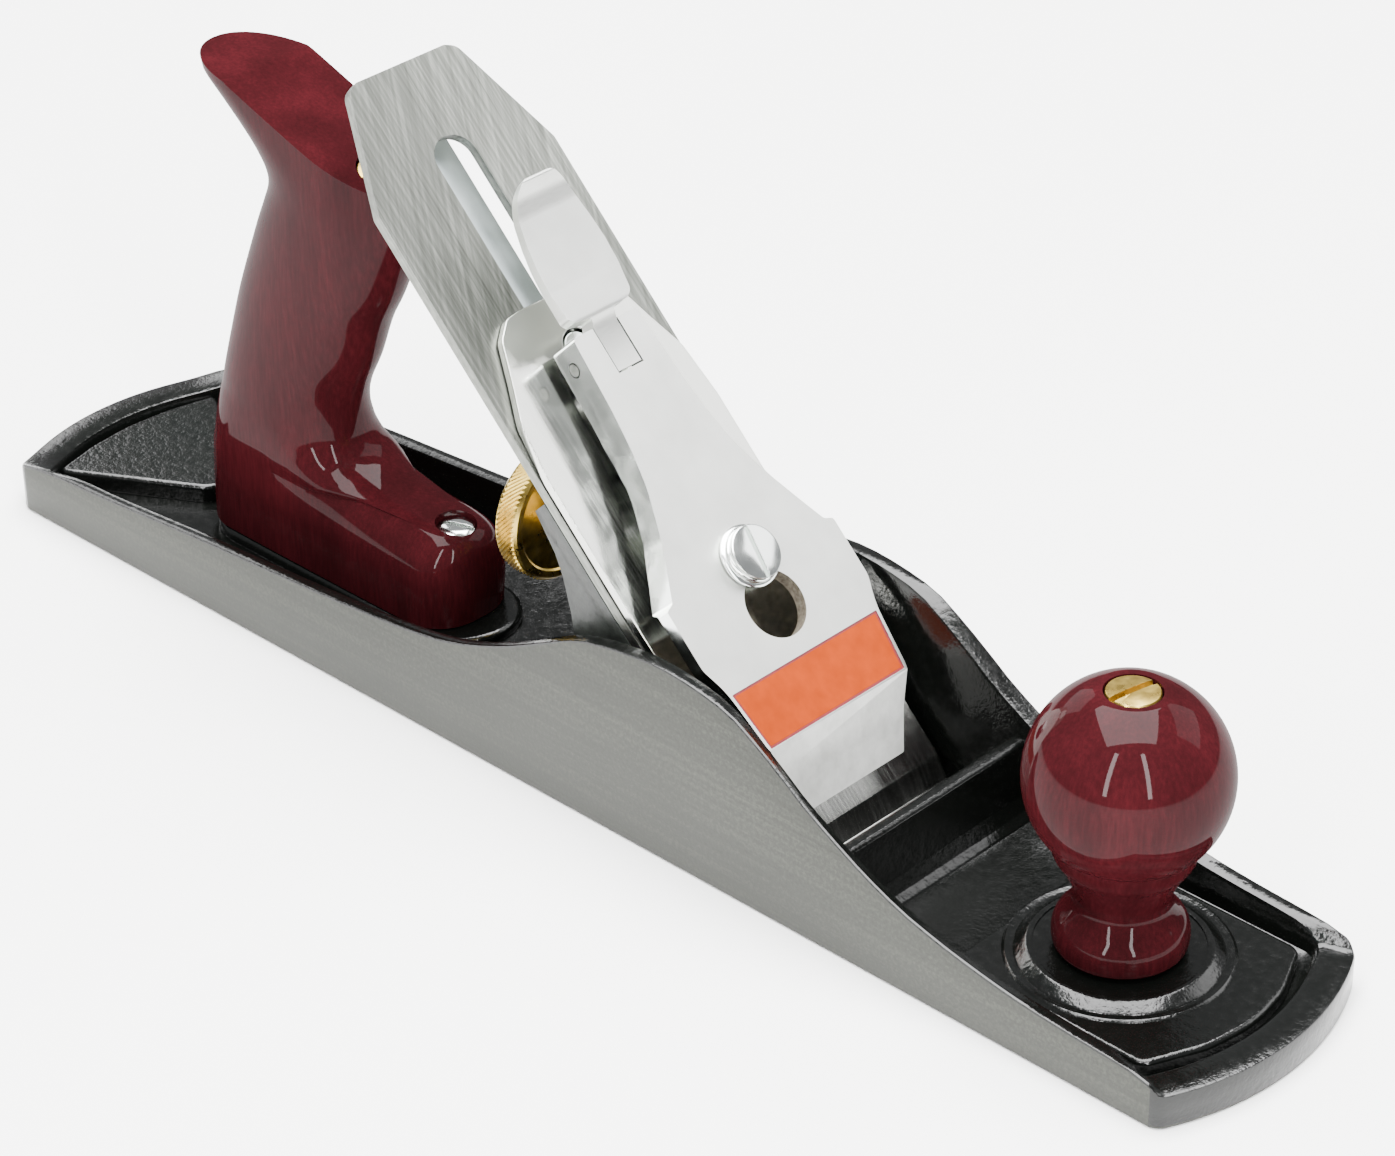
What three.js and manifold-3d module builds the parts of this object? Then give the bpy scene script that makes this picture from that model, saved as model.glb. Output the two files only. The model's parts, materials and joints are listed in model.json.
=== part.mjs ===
// A bench hand plane with a cast body, a frog, a double iron, a lever cap, and a wooden tote and knob.
// Millimetres, +Z up. +X is the toe. The origin is the middle of the sole's underside.
import * as THREE from "three";
import { mergeVertices } from "three/addons/utils/BufferGeometryUtils.js";
import Module from "manifold-3d";

const wasm = await Module();
wasm.setup();

// ---- Driving dimensions ----
const LENGTH = 355.6;
const IRON_WIDTH = 50.8;
const CHEEK_ROOM = 2.85; // between the iron's edge and the cheek's inner face
const CHEEK = 3.5; // cheek thickness
const FLOOR = 4.8; // thickness of the sole
const TOE_BULGE = 8.24; // how far the toe's arc stands ahead of its corners
const HEEL_BULGE = 8.59;
const TOE_RIM_WIDTH = 7.6;
const HEEL_RIM_WIDTH = 7.8;
const TOE_RIM_TOP = 8.1;
const HEEL_RIM_TOP = 10.4;
const CHEEK_PEAK_X = 38.6;
const CHEEK_PEAK_Z = 47.9;

const GAP = 0.3; // clearance between pieces that seat on or pass through each other
const BED_ANGLE = Math.PI / 4;
const BED_X = 72.86; // where the plane of the iron's top face would meet the sole's underside
const IRON_THICK = 2.4;
const IRON_EDGE = 4.4; // distance of the cutting edge up the bed from the sole's plane
const SLOT_WIDTH = 11.1; // slot in the iron
const CAP_IRON_TOP = 2.4; // height of the cap iron's top face over the iron's top face
const MOUTH_FRONT = 74.7;
const MOUTH_ROOM = 2.6; // between the iron's edge and the end of the mouth

const FROG_FOOT = 10; // height of the frog's underside
const FROG_SCREW_X = 40;
const FROG_SCREW_Y = 13;
const FROG_SCREW_RADIUS = 2.8;
const FROG_TRAVEL_BACK = 1.5;
const FROG_TRAVEL_FORWARD = 0.8;
const ADJUST_SCREW_Z = 14;
const ADJUST_SCREW_RADIUS = 2.5;

const CAP_SCREW_S = 67.6; // the lever cap screw's distance up the bed
const CAP_SCREW_RADIUS = 3.6;
const IRON_SCREW_S = 124; // the cap iron screw
const ROLLER_S = 102;
const ROLLER_RADIUS = 5.3;
const LATERAL_RIVET_S = 108;
const YOKE_S = 91; // the yoke's pivot
const YOKE_H = -12;
const YOKE_PIN_RADIUS = 1.6;

const WHEEL_RADIUS = 15.9;
const WHEEL_Z = 46.3;
const WHEEL_FRONT = -18.4;
const WHEEL_BACK = -24.8;
const STUD_RADIUS = 3;

const LEVER_CAP_TOP = 13.5;
const LEVER_CAP_WALL = 3;
const LEVER_CAP_SHOULDER_S = 66;
const LEVER_CAP_TOP_END = 124.3;
const CAM_S = 118.8;
const CAM_H = 8.9;
const CAM_PIN_RADIUS = 1.4;
const CAM_TONGUE = 6.6; // width of the cam lever where it passes the lever cap's slot

const TOTE_THICK = 26;
const TOTE_PAD_TOP = 7.5;
const TOTE_SCREW_X = -53.5;
const TOTE_SCREW_Z = 29; // height of the toe screw's top
const TOTE_ROD_TOP = [-71.5, 110.6];
const TOTE_ROD_LEAN = 0.328;
const ROD_RADIUS = 2.6;
const KNOB_SETBACK = 42.7; // from the toe's front to the knob's axis
const KNOB_BALL = 21;
const KNOB_BALL_Z = 50;
const KNOB_BOSS_TOP = 9.9;

const WIDTH = IRON_WIDTH + 2 * (CHEEK_ROOM + CHEEK);
const HALF_IRON = IRON_WIDTH / 2;
const HALF_INSIDE = WIDTH / 2 - CHEEK;
const TOE = LENGTH / 2;
const HEEL = -LENGTH / 2;
const KNOB_X = TOE - KNOB_SETBACK;
const BED_H = -IRON_THICK - GAP; // height of the frog's bed under the iron's top face
const SKY = 160; // higher than anything on the plane

// ---- Finishes ----
const finish = (color, roughness, metalness) =>
  new THREE.MeshStandardMaterial({ color, roughness, metalness, flatShading: true });
const enamel = finish("#1c1f1e", 0.35, 0.1);
const groundIron = finish("#a4a8a0", 0.45, 1);
const polishedSteel = finish("#d8dad6", 0.15, 1);
const nickel = finish("#dfe6e4", 0.25, 1);
const brass = finish("#bea050", 0.35, 1);
const stainedWood = finish("#7a3a3c", 0.3, 0);
const darkSteel = finish("#5a5c5a", 0.5, 1);

// ---- Solids ----
function solid(geometry) {
  const bare = geometry.clone();
  bare.deleteAttribute("normal");
  bare.deleteAttribute("uv");
  const merged = mergeVertices(bare, 1e-4);
  const position = merged.getAttribute("position");
  const index = merged.getIndex();
  const triangles = [];
  let volume = 0;
  const [a, b, c] = [new THREE.Vector3(), new THREE.Vector3(), new THREE.Vector3()];
  for (let i = 0; i < index.count; i += 3) {
    const corners = [index.getX(i), index.getX(i + 1), index.getX(i + 2)];
    if (new Set(corners).size < 3) continue;
    triangles.push(corners);
    a.fromBufferAttribute(position, corners[0]);
    b.fromBufferAttribute(position, corners[1]);
    c.fromBufferAttribute(position, corners[2]);
    volume += a.dot(b.cross(c));
  }
  const facing = volume < 0 ? triangles.map(([p, q, r]) => [p, r, q]) : triangles;
  const mesh = new wasm.Mesh({
    numProp: 3,
    vertProperties: new Float32Array(position.array),
    triVerts: new Uint32Array(facing.flat()),
  });
  return new wasm.Manifold(mesh);
}

function geometryOf(manifold) {
  const mesh = manifold.getMesh();
  const geometry = new THREE.BufferGeometry();
  geometry.setAttribute("position", new THREE.BufferAttribute(mesh.vertProperties, 3));
  geometry.setIndex(new THREE.BufferAttribute(mesh.triVerts, 1));
  return geometry;
}

const shapeOf = (points) => new THREE.Shape(points.map(([x, y]) => new THREE.Vector2(x, y)));

// A flat shape in X and Y, raised from one height to another.
function planSolid(shape, low, high, curveSegments = 16) {
  const geometry = new THREE.ExtrudeGeometry(shape, { depth: high - low, bevelEnabled: false, curveSegments });
  return solid(geometry.translate(0, 0, low));
}

// An outline in X and Z, carried across the plane from one y to another.
function sideSolid(points, right, left) {
  const options = { depth: left - right, bevelEnabled: false };
  const geometry = new THREE.ExtrudeGeometry(shapeOf(points), options);
  return solid(geometry.rotateX(Math.PI / 2).translate(0, left, 0));
}

function block(x0, x1, y0, y1, z0, z1) {
  const geometry = new THREE.BoxGeometry(x1 - x0, y1 - y0, z1 - z0);
  return solid(geometry.translate((x0 + x1) / 2, (y0 + y1) / 2, (z0 + z1) / 2));
}

// A profile of [radius, height] points turned about the Z axis.
function turned(profile, segments = 24) {
  const points = profile.map(([radius, height]) => new THREE.Vector2(radius, height));
  return solid(new THREE.LatheGeometry(points, segments).rotateX(Math.PI / 2));
}

function rod(radius, low, high, segments = 20) {
  return turned([[0, low], [radius, low], [radius, high], [0, high]], segments);
}

const alongX = (manifold) => manifold.rotate([0, 90, 0]);
const alongY = (manifold) => manifold.rotate([90, 0, 0]);

// A slot with round ends, its length along X, as a cutter or a pad.
function longHole(x0, x1, radius, low, high) {
  const shape = new THREE.Shape();
  shape.absarc(x1, 0, radius, -Math.PI / 2, Math.PI / 2, false);
  shape.absarc(x0, 0, radius, Math.PI / 2, 1.5 * Math.PI, false);
  return planSolid(shape, low, high, 10);
}

// A shape with the same half width on both sides of the X axis, from [x, half width] points.
const mirrored = (points) => shapeOf([...points, ...points.toReversed().map(([x, half]) => [x, -half])]);

// A slotted screw. Its head's underside is at height 0, with the shank below it.
function slottedScrew(head, headHeight, shank, length) {
  const chamfer = 0.4;
  const slotWidth = 1.4;
  const slotDepth = 1.2;
  const profile = [
    [0, -length], [shank - 0.5, -length], [shank, -length + 0.8], [shank, 0],
    [head, 0], [head, headHeight - chamfer], [head - chamfer, headHeight], [0, headHeight],
  ];
  const slot = block(-head - 1, head + 1, -slotWidth / 2, slotWidth / 2, headHeight - slotDepth, headHeight + 1);
  return turned(profile).subtract(slot);
}

// ---- The bed's frame: X runs up the bed, Z stands off it, and both start at (BED_X, 0, 0) ----
const bedTurn = new THREE.Matrix4().makeRotationFromEuler(new THREE.Euler(0, BED_ANGLE, Math.PI));
bedTurn.setPosition(BED_X, 0, 0);
const fromBed = (manifold) => manifold.transform(bedTurn.elements);

function bedPoint(s, h) {
  const point = new THREE.Vector3(s, 0, h).applyMatrix4(bedTurn);
  return [point.x, point.z];
}

// The x at which a plane parallel to the bed reaches the height z.
function bedXAt(z, h) {
  const s = (z - h * Math.cos(BED_ANGLE)) / Math.sin(BED_ANGLE);
  return bedPoint(s, h)[0];
}

const plane = new THREE.Group();
const bed = new THREE.Group();
bed.position.set(BED_X, 0, 0);
bed.rotation.set(0, BED_ANGLE, Math.PI);
plane.add(bed);

const toteRodAxis = new THREE.Group();
toteRodAxis.position.set(TOTE_ROD_TOP[0], 0, TOTE_ROD_TOP[1]);
toteRodAxis.rotation.set(0, TOTE_ROD_LEAN, 0);
plane.add(toteRodAxis);

function part(name, manifold, material, parent = plane) {
  const mesh = new THREE.Mesh(geometryOf(manifold), material);
  mesh.name = name;
  parent.add(mesh);
  return mesh;
}

// ---- Body casting ----
const arcRadius = (bulge) => ((WIDTH / 2) ** 2 + bulge ** 2) / (2 * bulge);

function castingPlan(cheekInset, toeInset, heelInset) {
  const half = WIDTH / 2 - cheekInset;
  const toeRadius = arcRadius(TOE_BULGE) - toeInset;
  const heelRadius = arcRadius(HEEL_BULGE) - heelInset;
  const toeAngle = Math.asin(half / toeRadius);
  const heelAngle = Math.asin(half / heelRadius);
  const plan = new THREE.Shape();
  plan.absarc(TOE - arcRadius(TOE_BULGE), 0, toeRadius, -toeAngle, toeAngle, false);
  plan.absarc(HEEL + arcRadius(HEEL_BULGE), 0, heelRadius, Math.PI - heelAngle, Math.PI + heelAngle, false);
  return plan;
}

// The cheek's top edge: [share of the way from the peak to the end, height].
function cheekOutline() {
  const toToe = [
    [0, CHEEK_PEAK_Z], [0.1, 46.6], [0.2, 41], [0.295, 32], [0.39, 24.6], [0.486, 19.1],
    [0.58, 15.7], [0.76, 12.4], [0.894, 11.2], [0.94, TOE_RIM_TOP], [1, TOE_RIM_TOP],
  ];
  const toHeel = [
    [0.032, 47.4], [0.066, 46.2], [0.099, 45], [0.168, 36.9], [0.239, 29.7], [0.311, 25.1],
    [0.421, 22.2], [0.597, 19.3], [0.769, 16.2], [0.906, 14], [0.959, HEEL_RIM_TOP], [1, HEEL_RIM_TOP],
  ];
  const ahead = toToe.map(([share, z]) => [CHEEK_PEAK_X + share * (TOE - CHEEK_PEAK_X), z]);
  const behind = toHeel.map(([share, z]) => [CHEEK_PEAK_X + share * (HEEL - CHEEK_PEAK_X), z]);
  return [[HEEL, 0], [TOE, 0], ...ahead.toReversed(), ...behind];
}

function bodyCasting() {
  const lipH = BED_H - 0.1 - FROG_TRAVEL_BACK * Math.sin(BED_ANGLE); // clears the iron with the frog right back
  const ribTop = 21.8;
  const ribFoot = MOUTH_FRONT + 14.1;
  const padBack = 14;
  const padTop = FROG_FOOT - GAP;
  const bossFoot = 8;
  const toeFloorHalf = HALF_INSIDE - 2.65;
  const heelPad = mirrored([[HEEL + 12.8, HALF_INSIDE - 5.2], [HEEL + 45.2, 6.2]]);
  const outer = planSolid(castingPlan(0, 0, 0), 0, CHEEK_PEAK_Z + 1);
  const inner = planSolid(castingPlan(CHEEK, TOE_RIM_WIDTH, HEEL_RIM_WIDTH), FLOOR, SKY, 12);
  const insideWidth = HALF_INSIDE + CHEEK / 2;

  let body = outer.intersect(sideSolid(cheekOutline(), -WIDTH, WIDTH)).subtract(inner);
  const rib = [[ribFoot - 10, FLOOR - 1], [ribFoot, FLOOR - 1], [ribFoot - 2.4, ribTop], [ribFoot - 5.3, ribTop]];
  body = body.add(sideSolid(rib, -insideWidth, insideWidth));
  body = body.add(block(KNOB_X - 23, TOE - TOE_RIM_WIDTH - 6, -toeFloorHalf, toeFloorHalf, FLOOR - 1, bossFoot));
  body = body.add(
    turned([[0, FLOOR - 1], [21.3, FLOOR - 1], [21.3, bossFoot], [18.2, KNOB_BOSS_TOP], [0, KNOB_BOSS_TOP]], 32)
      .translate([KNOB_X, 0, 0]),
  );
  body = body.add(longHole(-128 + 13.5, -39.3 - 13.5, 13.5, FLOOR - 1, TOTE_PAD_TOP));
  body = body.add(planSolid(heelPad, FLOOR - 1, 9));
  const pads = [
    [padBack, FLOOR - 1], [bedXAt(FLOOR - 1, lipH), FLOOR - 1],
    [bedXAt(padTop, lipH), padTop], [padBack, padTop],
  ];
  body = body.add(sideSolid(pads, -HALF_IRON + 3, HALF_IRON - 3));
  body = body.add(block(18, 30, -5, 5, FLOOR, ADJUST_SCREW_Z + 5));

  const mouthHalf = HALF_IRON + MOUTH_ROOM;
  const mouth = [
    [bedXAt(-1, lipH), -1], [MOUTH_FRONT, -1], [MOUTH_FRONT, 0.8],
    [MOUTH_FRONT + 3.3, FLOOR + 1], [bedXAt(FLOOR + 1, lipH), FLOOR + 1],
  ];
  body = body.subtract(sideSolid(mouth, -mouthHalf, mouthHalf));
  for (const side of [-1, 1]) {
    const hole = rod(FROG_SCREW_RADIUS + GAP, 1.6, SKY);
    body = body.subtract(hole.translate([FROG_SCREW_X, side * FROG_SCREW_Y, 0]));
  }
  const adjustHole = alongX(rod(ADJUST_SCREW_RADIUS + GAP, 10, 35));
  body = body.subtract(adjustHole.translate([0, 0, ADJUST_SCREW_Z]));
  body = body.subtract(rod(ROD_RADIUS + GAP, 1.6, SKY).translate([TOTE_SCREW_X, 0, 0]));
  body = body.subtract(rod(STUD_RADIUS + GAP, 1.6, SKY).translate([KNOB_X, 0, 0]));
  return body.subtract(alongToteRod(rod(ROD_RADIUS + GAP, -toteRodLength() - GAP, 0)));
}

// The tote rod ends this far down its own axis, a little above the sole's underside.
function toteRodLength() {
  const end = 3.4;
  return (TOTE_ROD_TOP[1] - end) / Math.cos(TOTE_ROD_LEAN);
}

function alongToteRod(manifold) {
  const turn = new THREE.Matrix4().makeRotationY(TOTE_ROD_LEAN);
  turn.setPosition(TOTE_ROD_TOP[0], 0, TOTE_ROD_TOP[1]);
  return manifold.transform(turn.elements);
}

part("body_casting", bodyCasting(), enamel);

// ---- Frog and what holds it ----
const FROG_SHOULDER_S = 98.5;
const FROG_TONGUE_S = 113;
const CHANNEL_H = -8.5; // floor of the lateral lever's channel
const RIB_H = -11.7; // underside of the frog's middle rib
const STUD_BOSS_BACK = -6;
const COUNTERBORE_Z = 16.6;
const WASHER_RADIUS = 6.3;
const ADJUST_SLOT_HALF = 5.8; // half width of the frog's slot round the body's adjusting boss

function frog() {
  const web = 4;
  const shoulder = 4;
  const channelHalf = 8;
  const screwReach = [FROG_SCREW_X - FROG_TRAVEL_FORWARD - GAP, FROG_SCREW_X + FROG_TRAVEL_BACK + GAP];
  const outline = [
    [bedXAt(FROG_FOOT, BED_H), FROG_FOOT], [14, FROG_FOOT], [9, 38], [8.3, 44], [6.2, 52], [4, 57],
    bedPoint(FROG_SHOULDER_S, BED_H - shoulder), bedPoint(FROG_SHOULDER_S, BED_H),
  ];
  const hollow = [
    [-20, FROG_FOOT + 3], [bedXAt(FROG_FOOT + 3, BED_H - 5), FROG_FOOT + 3],
    bedPoint(120, BED_H - 5), [-60, 80],
  ];
  let frogSolid = sideSolid(outline, -HALF_IRON, HALF_IRON);
  frogSolid = frogSolid.subtract(sideSolid(hollow, -HALF_IRON + web, HALF_IRON - web));
  frogSolid = frogSolid.add(fromBed(block(60, FROG_TONGUE_S, -14, 14, RIB_H, BED_H)));
  frogSolid = frogSolid.add(block(STUD_BOSS_BACK, 14, -6, 6, WHEEL_Z - 6, WHEEL_Z + 5.9));
  // The clip's lug and the slot that the body's adjusting boss stands in.
  frogSolid = frogSolid.add(block(10, 14.5, -9, 9, FROG_FOOT, 27));
  frogSolid = frogSolid.subtract(block(0, 33, -ADJUST_SLOT_HALF, ADJUST_SLOT_HALF, 0, FROG_FOOT + 3 + GAP));
  frogSolid = frogSolid.subtract(alongX(rod(5.6, 0, 20)).translate([0, 0, ADJUST_SCREW_Z]));
  for (const side of [-1, 1]) {
    const y = side * FROG_SCREW_Y;
    const seatSides = [side * ADJUST_SLOT_HALF, side * (HALF_IRON - web + 0.5)].sort((p, q) => p - q);
    const seatEnds = [screwReach[0] - WASHER_RADIUS - 2.4, screwReach[1] + WASHER_RADIUS + 2.4];
    frogSolid = frogSolid.add(block(...seatEnds, ...seatSides, FROG_FOOT, COUNTERBORE_Z + 6));
    frogSolid = frogSolid.subtract(
      longHole(...screwReach, WASHER_RADIUS + GAP, COUNTERBORE_Z, SKY).translate([0, y, 0]),
    );
    frogSolid = frogSolid.subtract(
      longHole(...screwReach, FROG_SCREW_RADIUS + GAP, 0, SKY).translate([0, y, 0]),
    );
    // The yoke's pin sits in these lugs.
    const lug = alongY(rod(4, side > 0 ? -12 : 8.1, side > 0 ? -8.1 : 12));
    frogSolid = frogSolid.add(fromBed(lug.translate([YOKE_S, 0, YOKE_H])));
  }
  // The lateral lever's channel, the yoke's window and its room below, and the drilled holes.
  frogSolid = frogSolid.subtract(fromBed(block(81, FROG_TONGUE_S + 1, -channelHalf, channelHalf, CHANNEL_H, 1)));
  frogSolid = frogSolid.subtract(fromBed(block(81, 95.5, -4, 4, -20, 1)));
  frogSolid = frogSolid.subtract(fromBed(block(86, 95.5, -8, 8, -16.5, CHANNEL_H + 0.1)));
  frogSolid = frogSolid.subtract(fromBed(rod(CAP_SCREW_RADIUS + GAP, -40, 5).translate([CAP_SCREW_S, 0, 0])));
  frogSolid = frogSolid.subtract(fromBed(rod(2.1, -40, 0).translate([LATERAL_RIVET_S, 0, 0])));
  frogSolid = frogSolid.subtract(
    fromBed(alongY(rod(YOKE_PIN_RADIUS + GAP, -12.5, 12.5)).translate([YOKE_S, 0, YOKE_H])),
  );
  frogSolid = frogSolid.subtract(alongX(rod(STUD_RADIUS + GAP, -20, 12)).translate([0, 0, WHEEL_Z]));
  const clipHole = alongX(rod(1.8, 0, 20)).translate([0, 0, CLIP_SCREW_Z]);
  const above = block(-60, 120, -60, 60, BED_H, 60);
  return frogSolid.subtract(clipHole).subtract(fromBed(above));
}

const CLIP_SCREW_Z = 23;
const CLIP_FRONT = 10 - GAP;
const CLIP_THICK = 1.5;

// A steel plate whose fork drops over the adjusting screw's groove.
function frogClip() {
  const groove = 2.5;
  const back = CLIP_FRONT - CLIP_THICK;
  let clip = block(back, CLIP_FRONT, -6, 6, FROG_FOOT + 0.6, CLIP_SCREW_Z + 3.4);
  clip = clip.subtract(block(0, 12, -groove, groove, 0, ADJUST_SCREW_Z));
  clip = clip.subtract(alongX(rod(groove, 0, 12)).translate([0, 0, ADJUST_SCREW_Z]));
  return clip.subtract(alongX(rod(1.8, 0, 12)).translate([0, 0, CLIP_SCREW_Z]));
}

// The head faces the heel. The groove takes the clip, and the thread runs on into the body's boss.
function frogAdjustScrew() {
  const back = CLIP_FRONT - CLIP_THICK - GAP;
  const front = CLIP_FRONT + GAP;
  const profile = [
    [0, back - 4], [4.2, back - 4], [4.2, back], [2.2, back], [2.2, front], [4.2, front],
    [4.2, front + 1.2], [ADJUST_SCREW_RADIUS, front + 1.2], [ADJUST_SCREW_RADIUS, 33], [0, 33],
  ];
  const slot = block(-0.7, 0.7, -6, 6, back - 5, back - 2.8);
  return alongX(turned(profile, 20).subtract(slot)).translate([0, 0, ADJUST_SCREW_Z]);
}

part("frog", frog(), enamel);
part("frog_clip", frogClip(), darkSteel);
part("frog_adjust_screw", frogAdjustScrew(), nickel);
const clipScrew = part("frog_clip_screw", slottedScrew(3.2, 1.8, 1.5, 4.5), nickel);
clipScrew.position.set(CLIP_FRONT - CLIP_THICK - GAP, 0, CLIP_SCREW_Z);
clipScrew.rotation.set(0, -Math.PI / 2, 0);
for (const [side, sign] of [["right", -1], ["left", 1]]) {
  const washerBottom = COUNTERBORE_Z + GAP;
  const washerTop = washerBottom + 1.5;
  const bore = FROG_SCREW_RADIUS + GAP;
  const washer = rod(WASHER_RADIUS, washerBottom, washerTop).subtract(rod(bore, 0, SKY));
  part(`frog_washer_${side}`, washer, darkSteel).position.set(FROG_SCREW_X, sign * FROG_SCREW_Y, 0);
  const screwTop = washerTop + GAP;
  const screw = slottedScrew(5.4, 3.2, FROG_SCREW_RADIUS, screwTop - 2);
  part(`frog_screw_${side}`, screw, darkSteel).position.set(FROG_SCREW_X, sign * FROG_SCREW_Y, screwTop);
}

// ---- Iron, cap iron and their screw, in the bed's frame ----
function planeIron() {
  const shoulderS = 166.6;
  const topS = 194.2;
  const cornerHalf = HALF_IRON - 10.2;
  const flatHalf = HALF_IRON - 14.4;
  const bevelLength = 5.2;
  const outline = new THREE.Shape();
  outline.moveTo(IRON_EDGE, -HALF_IRON);
  outline.lineTo(shoulderS, -HALF_IRON);
  outline.lineTo(topS - 4, -cornerHalf - 1);
  outline.quadraticCurveTo(topS, -cornerHalf + 1.6, topS, -flatHalf);
  outline.lineTo(topS, flatHalf);
  outline.quadraticCurveTo(topS, cornerHalf - 1.6, topS - 4, cornerHalf + 1);
  outline.lineTo(shoulderS, HALF_IRON);
  outline.lineTo(IRON_EDGE, HALF_IRON);
  const bevel = [
    [IRON_EDGE - 1, 0], [IRON_EDGE + 0.2, -0.1],
    [IRON_EDGE + bevelLength, -IRON_THICK - 0.1], [IRON_EDGE - 1, -IRON_THICK - 0.1],
  ];
  return planSolid(outline, -IRON_THICK, 0, 8)
    .subtract(longHole(38, 176.3 - SLOT_WIDTH / 2, SLOT_WIDTH / 2, -5, 5))
    .subtract(rod(9, -5, 5).translate([38, 0, 0]))
    .subtract(sideSolid(bevel, -WIDTH, WIDTH));
}

function capIron() {
  const half = HALF_IRON - 0.2;
  const nose = IRON_EDGE + 2.2;
  const top = 136.1;
  const outline = mirrored([
    [nose - 1, half], [101.5, half], [114.4, half - 1.4], [123, half - 5.2], [132.9, half - 8.3],
    [135.3, half - 12.9], [top, half - 15.5],
  ]);
  const profile = [
    [nose, GAP], [nose + 0.3, GAP + 0.4], [12, CAP_IRON_TOP], [top + 1, CAP_IRON_TOP], [top + 1, GAP],
  ];
  const screwRoom = CAP_SCREW_RADIUS + 1.5;
  return planSolid(outline, -5, 5)
    .intersect(sideSolid(profile, -WIDTH, WIDTH))
    .subtract(longHole(CAP_SCREW_S - 1.1, CAP_SCREW_S + 4.5, screwRoom, -5, 5))
    .subtract(block(YOKE_S - 6.4, YOKE_S + 0.4, -3.5, 3.5, -5, 5))
    .subtract(rod(3.9, -5, 5).translate([IRON_SCREW_S, 0, 0]));
}

// The screw comes from under the iron, so its head is turned over.
function capIronScrew() {
  const screw = slottedScrew(7, 2.6, 3.6, IRON_THICK + GAP + CAP_IRON_TOP - 0.2);
  return screw.rotate([180, 0, 0]).translate([IRON_SCREW_S, 0, BED_H]);
}

part("plane_iron", planeIron(), groundIron, bed);
part("cap_iron", capIron(), polishedSteel, bed);
part("cap_iron_screw", capIronScrew(), nickel, bed);

// ---- Lever cap, its cam lever and its screw, in the bed's frame ----
const NECK_HALF = 9.4;
const LEVER_SHOULDER_HALF = HALF_IRON - 0.3;
const CAP_SEAT = CAP_IRON_TOP + GAP;

// [distance up the bed, half width]; the neck widens by shares of what is left to the shoulder.
function leverCapPoints() {
  const neck = [[66.4, 0.86], [72.3, 0.69], [80, 0.46], [90, 0.23], [99, 0.12], [107, 0.06], [LEVER_CAP_TOP_END, 0]];
  const shares = neck.map(([s, share]) => [s, NECK_HALF + share * (LEVER_SHOULDER_HALF - NECK_HALF)]);
  return [
    [16.5, LEVER_SHOULDER_HALF - 9], [24.5, LEVER_SHOULDER_HALF - 7], [31.5, LEVER_SHOULDER_HALF - 3.9],
    [46, LEVER_SHOULDER_HALF - 2.3], [52, LEVER_SHOULDER_HALF], [LEVER_CAP_SHOULDER_S, LEVER_SHOULDER_HALF],
    ...shares,
  ];
}

function leverCap() {
  const profile = [
    [16.5, CAP_SEAT], [16.5, 4.2], [31, LEVER_CAP_TOP], [LEVER_CAP_TOP_END, LEVER_CAP_TOP],
    [LEVER_CAP_TOP_END, 5], [121, 4.8], [102, 5.4], [92, 6.9], [82, 7], [67, 5.5],
    [LEVER_CAP_SHOULDER_S, 10], [34, 10], [24, CAP_SEAT],
  ];
  const inner = leverCapPoints().filter(([s]) => s > LEVER_CAP_SHOULDER_S);
  const hollow = inner.map(([s, half]) => [s, half - LEVER_CAP_WALL]);
  hollow[0][0] = LEVER_CAP_SHOULDER_S - 4;
  hollow[hollow.length - 1][0] = 121.3;
  let cap = planSolid(mirrored(leverCapPoints()), 0, 20).intersect(sideSolid(profile, -WIDTH, WIDTH));
  cap = cap.subtract(planSolid(mirrored(hollow), 0, LEVER_CAP_TOP - 3.2));
  cap = cap.add(rod(3.4, 7.3, LEVER_CAP_TOP - 1).translate([SPRING_RIVET_S, 0, 0]));
  cap = cap.subtract(rod(1.5, 0, 11).translate([SPRING_RIVET_S, 0, 0]));
  cap = cap.subtract(longHole(56.5, CAP_SCREW_S, CAP_SCREW_RADIUS + 0.6, 0, 20));
  cap = cap.subtract(rod(7.5, 0, 20).translate([56.5, 0, 0]));
  cap = cap.subtract(block(113.6, 130, -CAM_TONGUE / 2 - GAP, CAM_TONGUE / 2 + GAP, 0, 20));
  return cap.subtract(alongY(rod(CAM_PIN_RADIUS + GAP, -20, 20)).translate([CAM_S, 0, CAM_H]));
}

const SPRING_RIVET_S = 97;

// A leaf that is bowed by the cam, with its free end lying over the cap iron.
function leverCapSpring() {
  const leaf = 0.9;
  const profile = [
    [92, 7], [101, 7], [112, CAP_SEAT + leaf], [124, CAP_SEAT + leaf],
    [124, CAP_SEAT], [111.5, CAP_SEAT], [100.6, 7 - leaf], [92, 7 - leaf],
  ];
  return sideSolid(profile, -5, 5).subtract(rod(1.5, 0, 20).translate([SPRING_RIVET_S, 0, 0]));
}

function springRivet() {
  return turned([[0, 5], [1.7, 5], [2.3, 5.8], [1.2, 5.8], [1.2, 10.7], [0, 10.7]], 16)
    .translate([SPRING_RIVET_S, 0, 0]);
}

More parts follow.
